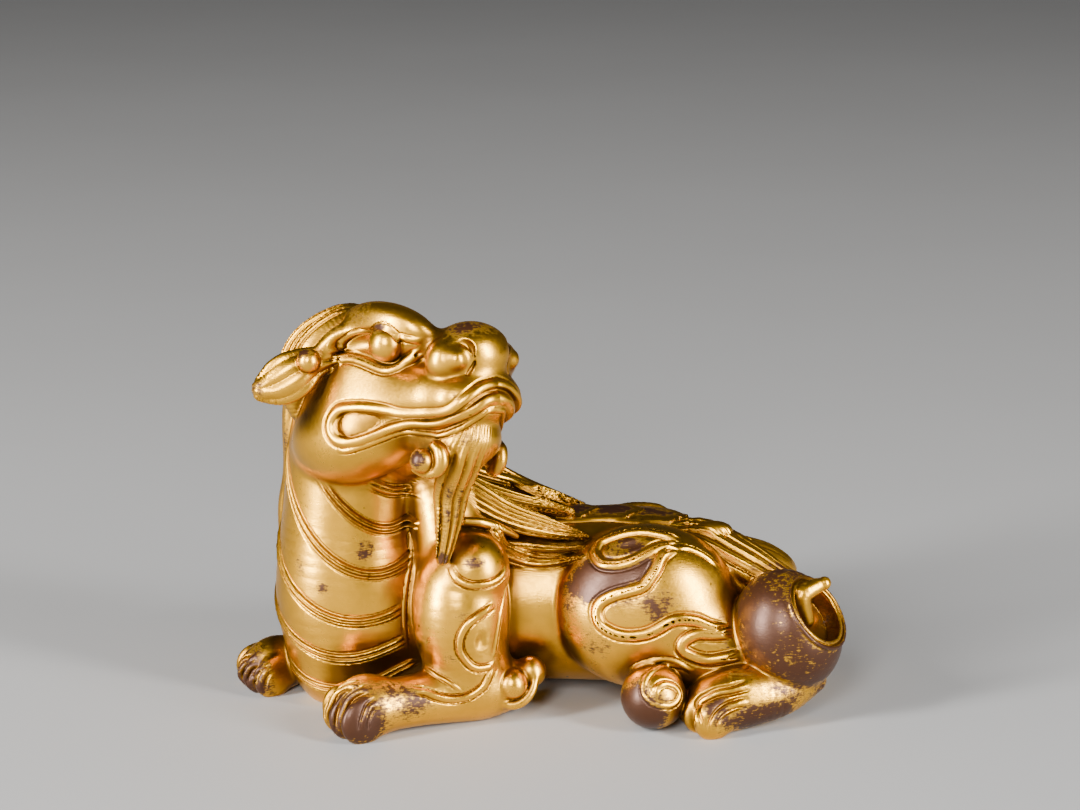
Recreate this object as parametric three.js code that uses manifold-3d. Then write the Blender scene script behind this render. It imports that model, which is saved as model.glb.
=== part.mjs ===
// A gilt bronze beast paperweight: a mythical beast lying with its head turned over its shoulder. One
// solid casting that stands on its own flat underside. Millimetres, +Z up, the beast's rump and coiled
// tail towards +X, its near flank towards -Y.
import * as THREE from 'three';
import { mergeVertices } from 'three/addons/utils/BufferGeometryUtils.js';
import Module from 'manifold-3d';

// Driving dimensions, millimetres and degrees
const TRIANGLES = 9600;             // facets of the finished solid
const CELL = 0.4;                   // pitch of the lattice on which the form is traced
const FLOOR_CUT = 0;                // height at which the underside is ground flat
const LEVEL = 0.08;                 // what is less than this above it is level with it

const HEAD = [-17.3, -4.0, 40.5];   // middle of the head
const HEAD_YAW = 45;                // turned towards the near side
const HEAD_PITCH = 14;              // nose lifted
const HEAD_ROLL = 10;
const EYE_RADIUS = 2.25;
const NOSTRIL_RADIUS = 2.6;
const BROW_LEAN = 0.42;             // the near brow stands higher than the far one
const MOUTH_DEPTH = 0.8;

const NECK_AXIS = [-24.2, 2.6];     // upright axis of the neck and chest, x and y
const BAND_LOWS = [3.0, 7.5, 12.5, 18.5, 24.0, 28.6];   // lowest point of each chest band
const BAND_WIDTH = 1.5;
const BAND_HEIGHT = 0.4;

const TRUNK_MID = 6.1;              // y of the spine
const TRUNK_RADIUS = 11.1;
const SPINE_HALF_WIDTH = 3.0;
const SPINE_RAISED = 0.4;
const SPINE_TOP = 26;               // no part of the back is higher
const SPINE_STROKES = 6;

const NEAR_HIP = [13.4, -2.2, 13.2];
const FAR_HIP = [13.0, 12.2, 12.0];
const HIP_RADII = [11.8, 8.6, 10.6];
const FAR_HIP_SCALE = 0.94;
const KNEE_CURL_RADIUS = 4.1;

const COIL = [31.2, -6.6, 11.4];    // middle of the tail's coiled ball
const COIL_RADII = [6.8, 7.0, 7.9];
const COIL_LEAN = 20;               // of its long axis, from upright
const COIL_AXIS = [0.68, -0.41, 0.61];
const COIL_MOUTH_RADIUS = 4.1;
const COIL_MOUTH_HEIGHT = 5.0;      // from the ball's middle to its rim
const COIL_CUP_DEPTH = 2.2;

const SCROLL_WIDTH = 1.5;           // the raised cords of the ornament
const SCROLL_HEIGHT = 0.6;

const GOLD = { color: 0xd9a23c, roughness: 0.32, metalness: 1.0 };

// Vectors
const { sqrt, abs, min, max, sin, cos, atan2, PI } = Math;
const RADIANS = PI / 180;
const plus = (a, b, s = 1) => [a[0] + s * b[0], a[1] + s * b[1], a[2] + s * b[2]];
const dot = (a, b) => a[0] * b[0] + a[1] * b[1] + a[2] * b[2];
const cross = (a, b) => [a[1] * b[2] - a[2] * b[1], a[2] * b[0] - a[0] * b[2], a[0] * b[1] - a[1] * b[0]];
const scaled = (a, s) => [a[0] * s, a[1] * s, a[2] * s];
const unit = (a) => scaled(a, 1 / sqrt(dot(a, a)));
const WORLD = [[1, 0, 0], [0, 1, 0], [0, 0, 1]];

// Forms. Each is a function of x, y, z that gives the distance to its skin, negative inside.
const NEAR_ENOUGH = 5;              // beyond this from a group's bounds its exact distance is not needed

const merge = (a, b, k) => {
  const overlap = max(k - abs(a - b), 0) / k;
  return min(a, b) - overlap * overlap * k / 4;
};
const carve = (a, b, k) => -merge(-a, b, k);

function ball(c, r) {
  return (x, y, z) => sqrt((x - c[0]) ** 2 + (y - c[1]) ** 2 + (z - c[2]) ** 2) - r;
}

function ellipsoid(c, r, axes = WORLD) {
  const [[ax, ay, az], [bx, by, bz], [cx, cy, cz]] = axes;
  return (x, y, z) => {
    const dx = x - c[0], dy = y - c[1], dz = z - c[2];
    const u = (dx * ax + dy * ay + dz * az) / r[0];
    const v = (dx * bx + dy * by + dz * bz) / r[1];
    const w = (dx * cx + dy * cy + dz * cz) / r[2];
    const k0 = sqrt(u * u + v * v + w * w);
    const k1 = sqrt((u / r[0]) ** 2 + (v / r[1]) ** 2 + (w / r[2]) ** 2);
    return k0 * (k0 - 1) / max(k1, 1e-9);
  };
}

// Catmull-Rom curve through rows of numbers, `spans` steps between two rows
function spline(rows, spans = 5) {
  const ends = (a, b) => a.map((value, i) => 2 * value - b[i]);
  const all = [ends(rows[0], rows[1]), ...rows, ends(rows.at(-1), rows.at(-2))];
  const out = [];
  for (let i = 1; i < all.length - 2; i++) {
    for (let j = 0; j < spans; j++) {
      const t = j / spans;
      out.push(all[i].map((b, n) => {
        const a = all[i - 1][n], c = all[i + 1][n], d = all[i + 2][n];
        return b + 0.5 * t * (c - a + t * (2 * a - 5 * b + 4 * c - d + t * (3 * b - a - 3 * c + d)));
      }));
    }
  }
  out.push(rows.at(-1));
  return out;
}

function boundsOf(points, margin) {
  const low = [0, 1, 2].map((i) => min(...points.map((p) => p[i])) - margin);
  const high = [0, 1, 2].map((i) => max(...points.map((p) => p[i])) + margin);
  return (x, y, z) => x > low[0] && x < high[0] && y > low[1] && y < high[1] && z > low[2] && z < high[2];
}

// Straight stretches between the points of a line, as one flat array of start, run and 1 / length squared
// and then what `more` adds, so that a form can walk them fast
function stretches(line, more) {
  return Float64Array.from(line.slice(1).flatMap((b, i) => {
    const a = line[i], run = [b[0] - a[0], b[1] - a[1], b[2] - a[2]];
    return [a[0], a[1], a[2], ...run, 1 / dot(run, run), ...more(a, b, run)];
  }));
}

// Round limb through rows of x, y, z, radius
function limb(rows, spans = 5) {
  const line = spline(rows, spans);
  const near = boundsOf(line, NEAR_ENOUGH + max(...line.map((row) => row[3])));
  const parts = stretches(line, (a, b) => [a[3], b[3] - a[3]]);
  return (x, y, z) => {
    if (!near(x, y, z)) return NEAR_ENOUGH;
    let best = NEAR_ENOUGH;
    for (let i = 0; i < parts.length; i += 9) {
      const qx = x - parts[i], qy = y - parts[i + 1], qz = z - parts[i + 2];
      const dx = parts[i + 3], dy = parts[i + 4], dz = parts[i + 5];
      const t = min(max((qx * dx + qy * dy + qz * dz) * parts[i + 6], 0), 1);
      const rx = qx - t * dx, ry = qy - t * dy, rz = qz - t * dz;
      best = min(best, sqrt(rx * rx + ry * ry + rz * rz) - parts[i + 7] - t * parts[i + 8]);
    }
    return best;
  };
}

// Flat lock of hair through rows of x, y, z, half width, half thickness, its face turned to `facing`,
// with `strands` strands side by side, parted by grooves
function lock(rows, facing, strands = 0, depth = 0.3, spans = 5) {
  const line = spline(rows, spans);
  const near = boundsOf(line, NEAR_ENOUGH + max(...line.map((row) => row[3])));
  const parts = stretches(line, (a, b, run) => {
    const along = unit(run);
    const out = unit(plus(facing, along, -dot(facing, along)));
    return [...out, ...cross(along, out), a[3], b[3] - a[3], a[4], b[4] - a[4]];
  });
  return (x, y, z) => {
    if (!near(x, y, z)) return NEAR_ENOUGH;
    let best = NEAR_ENOUGH, side = 0;
    for (let i = 0; i < parts.length; i += 17) {
      const qx = x - parts[i], qy = y - parts[i + 1], qz = z - parts[i + 2];
      const dx = parts[i + 3], dy = parts[i + 4], dz = parts[i + 5];
      const t = min(max((qx * dx + qy * dy + qz * dz) * parts[i + 6], 0), 1);
      const rx = qx - t * dx, ry = qy - t * dy, rz = qz - t * dz;
      const wide = parts[i + 13] + t * parts[i + 14], thick = parts[i + 15] + t * parts[i + 16];
      const out = rx * parts[i + 7] + ry * parts[i + 8] + rz * parts[i + 9];
      const across = rx * parts[i + 10] + ry * parts[i + 11] + rz * parts[i + 12];
      const past = max(rx * rx + ry * ry + rz * rz - across * across - out * out, 0);
      const u = across / wide, flat = (out * out + past) / (thick * thick);
      const k0 = sqrt(u * u + flat), k1 = sqrt(u * u / (wide * wide) + flat / (thick * thick));
      const gap = k0 * (k0 - 1) / max(k1, 1e-9);
      if (gap < best) {
        best = gap;
        side = u;
      }
    }
    if (strands) best += depth * (1 - abs(cos(PI * strands * (side + 1) / 2)));
    return best;
  };
}

const joined = (k, ...forms) => (x, y, z) => forms
  .reduce((d, form) => merge(d, form(x, y, z), k), NEAR_ENOUGH * 4);

// Head, in its own frame: forward, near side, up. What is given for one side is on both.
function headFrame() {
  const yaw = HEAD_YAW * RADIANS, pitch = HEAD_PITCH * RADIANS, roll = HEAD_ROLL * RADIANS;
  const forward = [cos(yaw) * cos(pitch), -sin(yaw) * cos(pitch), sin(pitch)];
  const level = [-sin(yaw), -cos(yaw), 0];
  const upright = cross(level, forward);
  return [
    forward,
    plus(scaled(level, cos(roll)), upright, sin(roll)),
    plus(scaled(upright, cos(roll)), level, -sin(roll)),
  ];
}
const HEAD_AXES = headFrame();
const fromHead = ([f, s, u]) => plus(plus(plus(HEAD, HEAD_AXES[0], f), HEAD_AXES[1], s), HEAD_AXES[2], u);
const toHead = (p) => { const q = plus(p, HEAD, -1); return HEAD_AXES.map((axis) => dot(q, axis)); };

function tilted(degrees) {
  const a = degrees * RADIANS;
  return [[cos(a), 0, sin(a)], [0, 1, 0], [-sin(a), 0, cos(a)]];
}

// A recess with a flat floor: inside the outline the skin lies deeper
const sunk = (skin, outline, depth, soft) => carve(skin, max(outline, -skin - depth), soft);

function makeHead() {
  const skull = ellipsoid([-2.5, 0, 1.5], [11, 9.2, 8.9]);
  const cheek = ellipsoid([-4.7, 4.1, -3.8], [9.4, 6.2, 6], tilted(8));
  const muzzle = ellipsoid([8.5, 0, 0.2], [9, 7.4, 5]);
  const upperLip = ellipsoid([14.2, 0, -0.4], [3.5, 6.2, 2.9]);
  const nose = ellipsoid([13.5, 0, 5.1], [4.5, 4.9, 3.9]);
  const nostril = joined(0.5, ball([13.3, 4.1, 4.3], NOSTRIL_RADIUS), ball([15.3, 4.3, 4.3], 1.35));
  const bridge = ellipsoid([10.8, 0, 6], [4, 2.8, 2.2]);
  const chin = ellipsoid([10.2, 0, -5.2], [6, 4.8, 3.8]);
  const brow = ellipsoid([3.6, 4.2, 6.2], [7.8, 4.4, 3.8], tilted(-6));
  const temple = limb([[-3.8, 10.2, 5.4, 1], [-2.8, 9.3, 6.9, 1.3], [-1.2, 8, 8.1, 1.6], [1, 6.4, 8.4, 2]]);
  const socket = ellipsoid([4.8, 9.5, 6.8], [6.2, 3.4, 2], tilted(-2));
  const eye = ball([5.9, 7.1, 6.8], EYE_RADIUS);
  const mouth = limb([[0.6, 9.1, -2.8, 1.6], [3.4, 8.2, -2.7, 1.25], [5.6, 7.4, -2.6, 0.75],
    [7.8, 6.6, -2.6, 0.4], [10.6, 5.6, -2.8, 0.3], [12.6, 5.3, -2.8, 0.3], [15, 5, -2.3, 0.3],
    [16.6, 4.3, -1.6, 0.3], [17.3, 2.9, -0.6, 0.3], [17.8, 1.4, 0.2, 0.3], [18, -0.2, 0.5, 0.3]]);
  const earLeaf = lock([[-2.8, 8.6, 5.4, 1.2, 1.2], [-4.1, 10.8, 5, 2.2, 1.2], [-5.2, 12.5, 3.9, 3, 1.3],
    [-6.7, 14, 2.8, 2.9, 1.3], [-8, 15.2, 2.2, 2.1, 1.2], [-8.7, 15.8, 2.1, 1.2, 1]], [0.8, 0.6, 0], 3, 0.25);
  const ear = joined(0.6, earLeaf, ball([-8.3, 15.2, 2.3], 1.15));
  const earBall = ball([-3.3, 11.9, 5.3], 1.5);
  const chinCurl = ball([10.3, 6, -7.7], 1.55);
  const chinHook = limb([[11.8, 5.2, -6, 0.7], [12.4, 4.9, -6.8, 0.95], [12.4, 4.8, -8, 0.95],
    [11.75, 4.9, -8.9, 0.8], [10.7, 5.2, -9.3, 0.65], [9.65, 5.6, -9.15, 0.5], [8.9, 6.1, -8.7, 0.4]]);
  const tuft = lock([[-3.4, 2.2, 11.2, 1, 0.8], [-5.2, 3.6, 10.7, 2.2, 1.6], [-7.3, 5.6, 9, 3, 2.1],
    [-9.1, 7.4, 6.6, 3.2, 2.1], [-10.6, 8, 3, 2.9, 1.9], [-11, 7.2, -0.5, 1.4, 1.2]], [0.3, 0.8, 0.4]);
  return (x, y, z) => {
    const reach = sqrt((x - HEAD[0]) ** 2 + (y - HEAD[1]) ** 2 + (z - HEAD[2]) ** 2) - 22;
    if (reach > NEAR_ENOUGH) return NEAR_ENOUGH;
    const [f, across, u] = toHead([x, y, z]);
    const s = abs(across), farSide = max(-across, 0);
    let d = merge(skull(f, s, u), cheek(f, s, u), 3);
    d = merge(d, muzzle(f, s, u), 4);
    d = merge(d, upperLip(f, s, u), 2);
    d = merge(d, nose(f, s, u), 1.6);
    d = merge(d, nostril(f, s, u), 0.7);
    d = merge(d, bridge(f, s, u), 2);
    d = merge(d, chin(f, s, u), 1.6);
    d = merge(d, brow(f, s, u - BROW_LEAN * across), 1.6);
    d = merge(d, temple(f, s, u) + BROW_LEAN * farSide, 1);
    d = carve(d, socket(f, s, u), 0.5);
    d = merge(d, eye(f, s, u), 0.2);
    d = sunk(d, mouth(f, s, u), MOUTH_DEPTH, 0.4);
    d = merge(d, tuft(f, s, u), 0.4);
    d = merge(d, ear(f, s, u), 0.4);
    d = merge(d, earBall(f, s, u), 0.25);
    return merge(merge(d, chinHook(f, s, u), 0.5), chinCurl(f, s, u), 0.25);
  };
}

// Body
const neck = limb([[-24, 2.6, 6, 8.4], [-24.6, 2.4, 14, 9.2], [-24.2, 2.6, 24, 8.6],
  [-23.4, 2.6, 34, 8.2], [-21.8, 1.4, 42, 7.6]], 8);

const trunk = limb([[-20, 5.5, 12.4, 10.4], [-8, TRUNK_MID, 12.2, 10.8], [4, TRUNK_MID, 12.2, TRUNK_RADIUS],
  [14, 6, 11.9, 11.1], [22, 5, 10.6, 9.8], [28, 4, 8.6, 7.6]], 8);
const slopeOfShoulder = limb([[-15.8, 2.4, 38, 3.2], [-14.4, 1.6, 32, 3.8], [-12, -0.8, 26, 4.6],
  [-10.6, -2.6, 19, 5]]);

// Toes side by side at the end of a paw that points along `ahead`
function paw(middle, ahead, toes, size) {
  const forward = unit([...ahead, 0]);
  const sideways = [-forward[1], forward[0], 0];
  const digits = [];
  const spacing = 1.9 / toes;
  for (let i = 0; i < toes; i++) {
    const place = i - (toes - 1) / 2;
    const lead = 0.5 - 0.08 * place * place;
    const tip = plus(plus(middle, sideways, place * size * spacing), forward, size * lead);
    const turn = unit(plus(forward, sideways, place * 0.14));
    digits.push(ellipsoid([tip[0], tip[1], size * 0.6], [size * 0.72, size * spacing * 0.62, size * 0.68],
      [turn, [-turn[1], turn[0], 0], [0, 0, 1]]));
  }
  const heel = ellipsoid(middle, [size * 0.95, size * 0.9, size * 0.85]);
  return joined(0.7, heel, ...digits);
}

const nearForeleg = (() => {
  const upper = limb([[-9.4, -5.4, 19.6, 4.9], [-10, -6.2, 15, 6.1], [-9.6, -6.4, 9.5, 5.6],
    [-7.8, -6.4, 5, 4.4]], 7);
  const dome = ball([-8.7, -6.9, 19.7], 4.9);
  const fore = limb([[-3.6, -5.2, 3.6, 3], [-9, -7.6, 3.6, 3.6], [-15, -10.4, 3.6, 3.3],
    [-20, -12.6, 3.4, 3.2]], 6);
  const foot = paw([-21.6, -12.4, 3.6], [-19, -7.6], 4, 4.5);
  const corner = ball([-1.2, -6.2, 5.8], 2);
  const elbow = joined(0.2, ball([-3.5, -8.6, 5], 1.95),
    limb([[-6, -8.4, 6, 0.4], [-5.7, -8.8, 4.2, 0.5], [-4.7, -9, 2.8, 0.6], [-3.3, -9.1, 2.4, 0.65],
      [-1.9, -8.8, 3, 0.65], [-1, -8.2, 4.2, 0.65], [-0.6, -7.6, 5.6, 0.5]]));
  const arm = joined(2, upper, fore);
  return (x, y, z) => {
    const d = merge(merge(arm(x, y, z), dome(x, y, z), 0.6), foot(x, y, z), 1.2);
    return merge(merge(d, corner(x, y, z), 1), elbow(x, y, z), 0.4);
  };
})();

const farForeleg = (() => {
  const upper = limb([[-20, 11.4, 22.5, 5], [-20.6, 12.4, 16.5, 5.6], [-19.8, 12.8, 9.5, 5.2],
    [-18, 12.8, 5, 4.4]], 7);
  const fore = limb([[-15, 13, 3.6, 3], [-21, 11.6, 3.6, 3.4], [-29, 7.2, 3.4, 3.1], [-33.4, 5, 3.2, 3]], 6);
  const foot = paw([-34.2, 4.4, 3.2], [-17, -7.6], 4, 4.1);
  const elbow = ball([-12.4, 14.6, 4.6], 1.75);
  const arm = joined(2, upper, fore);
  return (x, y, z) => merge(merge(arm(x, y, z), foot(x, y, z), 1.2), elbow(x, y, z), 0.4);
})();

// Haunch, knee curl and hind paw. `side` is -1 on the near flank and 1 on the far one.
function hindLeg(hip, size, side) {
  const at = (x, y, z) => [hip[0] + (x - NEAR_HIP[0]) * size, hip[1] - side * (y - NEAR_HIP[1]) * size,
    hip[2] + (z - NEAR_HIP[2]) * size];
  const haunch = ellipsoid(hip, scaled(HIP_RADII, size));
  const rump = ellipsoid(at(22, -4, 8), scaled([9, 6, 6], size));
  const kneeAt = at(14.2, -11, 4.4);
  const knee = ball([kneeAt[0], kneeAt[1], 4.2], KNEE_CURL_RADIUS * size);
  const shin = [[34.6, -6.6, 4.8, 1.6], [30, -8.6, 4.4, 3.5], [25, -10.4, 3.9, 4], [22.6, -11.2, 3.5, 3.6]]
    .map(([x, y, z, r]) => [...at(x, y, z).slice(0, 2), z * size, r * size]);
  const toe = at(22.4, -11.4, 3.6);
  const foot = paw([toe[0], toe[1], 3.4], [-12.8, side * 4.8], 3, 4 * size);
  const leg = limb(shin, 6);
  return (x, y, z) => {
    let d = merge(haunch(x, y, z), rump(x, y, z), 3);
    d = merge(d, knee(x, y, z), 0.5);
    return merge(d, merge(leg(x, y, z), foot(x, y, z), 1), 0.5);
  };
}

const COIL_OUT = unit(COIL_AXIS);
const tail = (() => {
  const coil = ellipsoid(COIL, COIL_RADII, tilted(COIL_LEAN));
  const root = lock([[16, 4.8, 21.6, 2.2, 1.4], [20.6, 3, 21, 3.4, 2.2], [25.3, 0.8, 18.6, 3.4, 2.4],
    [29.6, -1.6, 16.6, 2.7, 2.2], [32.6, -3.8, 15.4, 2.2, 2]], [0.3, -0.45, 0.85], 5, 0.35);
  const knuckle = ellipsoid([22.2, 2.2, 21.8], [2.4, 1.5, 1.3]);
  const sideCurl = lock([[24.6, 2.4, 19.4, 2.2, 2], [28.4, 5, 17.6, 2.2, 2], [31.4, 7.2, 15, 2, 1.8],
    [32, 9, 12, 1.4, 1.3], [30.8, 10, 10, 0.8, 0.8]], [0.6, 0.5, 0.6], 3, 0.35);
  const tip = joined(0.3, limb([[...plus(COIL, COIL_OUT, 3), 1.2], [32.6, -8.4, 16.4, 1.3],
    [34.6, -7.6, 17.6, 1]]), ball([35.6, -7.4, 17.9], 0.85));
  return (x, y, z) => {
    const q = [x - COIL[0], y - COIL[1], z - COIL[2]];
    const height = dot(q, COIL_OUT);
    const off = plus(q, COIL_OUT, -height);
    const from = sqrt(dot(off, off));
    let d = carve(coil(x, y, z), COIL_MOUTH_HEIGHT - height, 0.4);
    d = carve(d, max(from - COIL_MOUTH_RADIUS, COIL_MOUTH_HEIGHT - COIL_CUP_DEPTH - height), 0.4);
    d = merge(d, merge(root(x, y, z), knuckle(x, y, z), 0.3), 0.5);
    return merge(merge(d, sideCurl(x, y, z), 0.5), tip(x, y, z), 0.3);
  };
})();

// Mane: wavy locks that fall from the crown down the nape and curl at their ends
const mane = (() => {
  const locks = [];
  const count = 5;
  for (let i = 0; i < count; i++) {
    const turn = 26 + 30 * i;
    const outAt = (degrees) => [-cos(degrees * RADIANS), sin(degrees * RADIANS), 0];
    const at = (z, r, sway, wide, thick) => [...plus([...NECK_AXIS, z], outAt(turn + sway), r), wide, thick];
    const out = outAt(turn);
    const end = i % 2 ? 15 : 19;
    locks.push(lock([
      [-22.6 + out[0], 3.2 + out[1], 49.2, 1.4, 1.6], at(45.6, 5.2, 4, 2.6, 2.1), at(38, 6.9, -3, 3, 1.9),
      at(29, 7.6, 3, 2.9, 1.8), at(end + 5, 8.2, -4, 2.5, 1.6), at(end, 8.9, 2, 1.7, 1.3),
      at(end - 2, 9.3, 13, 0.9, 0.9), at(end, 9.6, 20, 0.7, 0.8),
    ], out, 4, 0.4));
  }
  return joined(0.3, ...locks);
})();

const nearHindLeg = hindLeg(NEAR_HIP, 1, -1);
const farHindLeg = hindLeg(FAR_HIP, FAR_HIP_SCALE, 1);

function torso(x, y, z) {
  let d = merge(merge(neck(x, y, z), trunk(x, y, z), 4), slopeOfShoulder(x, y, z), 1.5);
  d = merge(d, nearForeleg(x, y, z), 0.7);
  d = merge(d, farForeleg(x, y, z), 0.7);
  d = merge(d, nearHindLeg(x, y, z), 0.7);
  return merge(d, farHindLeg(x, y, z), 0.7);
}

// Nearest point of a form's skin
function onSkin(form, point) {
  const step = 0.05;
  let p = point;
  for (let i = 0; i < 6; i++) {
    const slope = WORLD.map((axis) => form(...plus(p, axis, step)) - form(...plus(p, axis, -step)));
    if (dot(slope, slope) > 0) p = plus(p, unit(slope), -form(...p));
  }
  return p;
}

// Long locks swept back from the neck over the shoulder, and the flames below them. Each row is
// x, y, z, half width, half thickness. Those that lie on the flank are `laid` on its skin.
const sweptLocks = [
  { rows: [[-15.5, -1, 31.5, 2.2, 1.2], [-9, -1.8, 28, 2.3, 1.2], [-4, -1.6, 25, 2, 1.1],
    [1.5, -1, 23, 1.4, 1], [5.6, -0.6, 21.9, 0.5, 0.7]], facing: [-0.1, -0.7, 0.7], strands: 6 },
  { rows: [[-14.5, 2.4, 31.2, 1.6, 1.2], [-8.2, 2.2, 27.6, 1.6, 1.1], [-3.9, 2.4, 26, 1.3, 1],
    [0.1, 2.9, 24.8, 0.9, 0.9], [3.6, 3.4, 23.8, 0.4, 0.5]], facing: [-0.1, -0.5, 0.85], strands: 3 },
  { rows: [[-9.4, -6.2, 25.6, 0.8, 0.8], [-7.2, -5.6, 25.2, 0.8, 0.8], [-5, -4.6, 24.2, 0.8, 0.8],
    [-3, -3.6, 23.2, 0.8, 0.8]], facing: [0, -0.7, 0.7], strands: 0 },
  { rows: [[-5.6, -5.4, 24, 1.3, 1], [-3.6, -3.6, 21.6, 1.3, 1], [-2, -2.6, 19.6, 1.1, 1],
    [0.2, -2.4, 18.9, 0.9, 1], [2.4, -2.6, 19.2, 0.7, 0.9], [5.2, -4.4, 20.3, 0.4, 0.7]],
  facing: [0, -0.9, 0.4], strands: 2, laid: true },
  { rows: [[-3, -3, 23, 0.9, 0.9], [-1.6, -2.2, 21.6, 1, 1], [0.4, -1.8, 20.8, 0.9, 1],
    [2.6, -1.8, 20.6, 0.7, 0.9], [4.8, -2.6, 21.6, 0.4, 0.6]],
  facing: [0, -0.7, 0.7], strands: 2, laid: true },
];
// On the far side they are mirrored about the middle of the neck where they start and about the
// middle of the trunk where they end
const FAR_LIMIT = 14;               // no further out than this, so that the skin is in reach
const swept = joined(0.3, ...sweptLocks.flatMap(({ rows, facing, strands, laid }) => [1, -1].map((side) => {
  const out = unit([facing[0], side * facing[1], facing[2]]);
  const placed = rows.map(([x, y, z, wide, thick]) => {
    const middle = min(3.6 + max(x + 15, 0) * 0.25, TRUNK_MID);
    const at = [x, side > 0 ? y : min(2 * middle - y, FAR_LIMIT), z];
    return [...(laid ? onSkin(torso, at) : at), wide, thick];
  });
  return lock(placed, out, strands, 0.3);
})));

const beard = lock([[...fromHead([14.2, 1, -4.6]), 2.5, 1.6], [...fromHead([12.5, 1.1, -7.2]), 2.9, 2.3],
  [-10.7, -12.8, 32, 2.5, 2.1], [-11.1, -12.4, 28.4, 2, 1.8], [-11.6, -12, 25, 1.4, 1.4],
  [-12, -11.7, 22.6, 1, 1]], [0.5, -0.85, 0], 4, 0.4);

const head = makeHead();

function body(x, y, z) {
  let d = merge(torso(x, y, z), tail(x, y, z), 0.5);
  d = merge(d, mane(x, y, z), 0.5);
  d = merge(d, swept(x, y, z), 0.3);
  d = merge(d, head(x, y, z), 1);
  return merge(d, beard(x, y, z), 0.5);
}

// Carving: raised cords laid on the skin along curves
function cord(points, width = SCROLL_WIDTH, height = SCROLL_HEIGHT, spans = 6) {
  const line = spline(points, spans).map((point) => onSkin(body, point));
  const near = boundsOf(line, width);
  const parts = stretches(line, () => []);
  return (x, y, z) => {
    if (!near(x, y, z)) return 0;
    let best = width * width;
    for (let i = 0; i < parts.length; i += 7) {
      const qx = x - parts[i], qy = y - parts[i + 1], qz = z - parts[i + 2];
      const dx = parts[i + 3], dy = parts[i + 4], dz = parts[i + 5];
      const t = min(max((qx * dx + qy * dy + qz * dz) * parts[i + 6], 0), 1);
      const rx = qx - t * dx, ry = qy - t * dy, rz = qz - t * dz;
      best = min(best, rx * rx + ry * ry + rz * rz);
    }
    const off = sqrt(best) / (width / 2);
    return off < 1 ? height * (1 - off * off) : 0;
  };
}

function spiral(middle, facing, outer, inner, turns, start) {
  const out = unit(facing);
  const right = unit(cross([0, 0, 1], out));
  const up = cross(out, right);
  const steps = 9;
  const points = [];
  for (let i = 0; i <= steps; i++) {
    const angle = start * RADIANS - turns * 2 * PI * i / steps;
    const r = outer + (inner - outer) * i / steps;
    points.push(plus(plus(middle, right, r * cos(angle)), up, r * sin(angle)));
  }
  return points;
}

const flankCords = [
  [[17.7, -4.5, 22.6], [13, -3.8, 23.6], [9.3, -3.8, 23], [6.9, -4.9, 21.4], [7.7, -6.9, 20.4],
    [10.2, -7.9, 20.6], [13.5, -7.2, 21.9], [17.4, -5.5, 22.3]],
  [[16.8, -6.1, 22.1], [14.5, -8.6, 20.2], [12.8, -9.7, 18.2], [9.4, -9.6, 17.1], [7.1, -9.3, 15.2],
    [7.6, -9.7, 13.1], [10.2, -10.4, 12], [13.3, -10.8, 12.3], [17.7, -10.2, 14], [21.5, -9.2, 12.7],
    [23.4, -8.7, 12.2]],
  [[24.2, -8.6, 11.7], [20, -9.8, 12], [17.8, -10.2, 10.8], [17.9, -10.2, 9.9], [20.9, -10.1, 8.6],
    [25.1, -9.5, 9.2]],
  [[11.4, -9, 6.8], [14.7, -10, 8.6], [16.8, -10, 8.4], [19.1, -9.8, 6.9]],
];
const shoulderCords = [
  [[-11.8, -12.4, 22.6], [-10.8, -11, 20.5], [-8.8, -11.4, 19.1], [-6.2, -10.6, 19.1], [-4.3, -8.3, 20.5]],
  [[-5.7, -10.4, 16.1], [-8.7, -12.2, 14.3], [-10, -12.3, 11.8], [-9.4, -12, 9.5], [-7.6, -11.5, 8],
    [-5.6, -10.3, 8.3]],
  [[-16.1, -13.4, 5.9], [-13, -12.9, 4.9], [-10.4, -12.1, 4.2], [-8, -11.5, 4.8], [-6.3, -10.8, 6.8],
    [-5.6, -10.3, 8]],
];
const hipAcross = ([x, y, z]) => [FAR_HIP[0] + (x - NEAR_HIP[0]) * FAR_HIP_SCALE,
  FAR_HIP[1] - (y - NEAR_HIP[1]) * FAR_HIP_SCALE, FAR_HIP[2] + (z - NEAR_HIP[2]) * FAR_HIP_SCALE];
const shoulderAcross = ([x, y, z]) => [x - 10.6, 6.6 - y, z + 0.4];

const lipCords = [
  [[17.6, -0.6, 1.3], [17.2, 3.2, 0.2], [15, 5.2, -1.5], [10, 6.4, -2.1], [5.9, 7.5, -1.4],
    [1.2, 9, -0.7], [-0.8, 9.7, -0.9], [-2, 9.9, -2.2], [-2, 9.9, -3.7], [-0.9, 9.4, -4.8],
    [3.2, 7.8, -4.5], [6.6, 6.3, -3.6], [10.4, 5.4, -3.5], [14.6, 4.3, -3], [17, 2.5, -1.5],
    [17.8, -0.4, -0.6]],
  [[-2.8, 7.8, 7.6], [0.5, 8.1, 8.3], [3.4, 7.1, 9.4], [6, 6.4, 9.2], [8.6, 6.2, 7.8], [9.9, 4.9, 7.2]],
  [[-2.6, 8.5, 5.1], [0.6, 8.2, 5.6], [2.8, 7.9, 4.9], [5.4, 7.2, 3.9], [7.8, 6.3, 4.5], [10, 4.7, 5.8]],
];
const otherSide = ([f, s, u]) => [f, -s, u];

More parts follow.
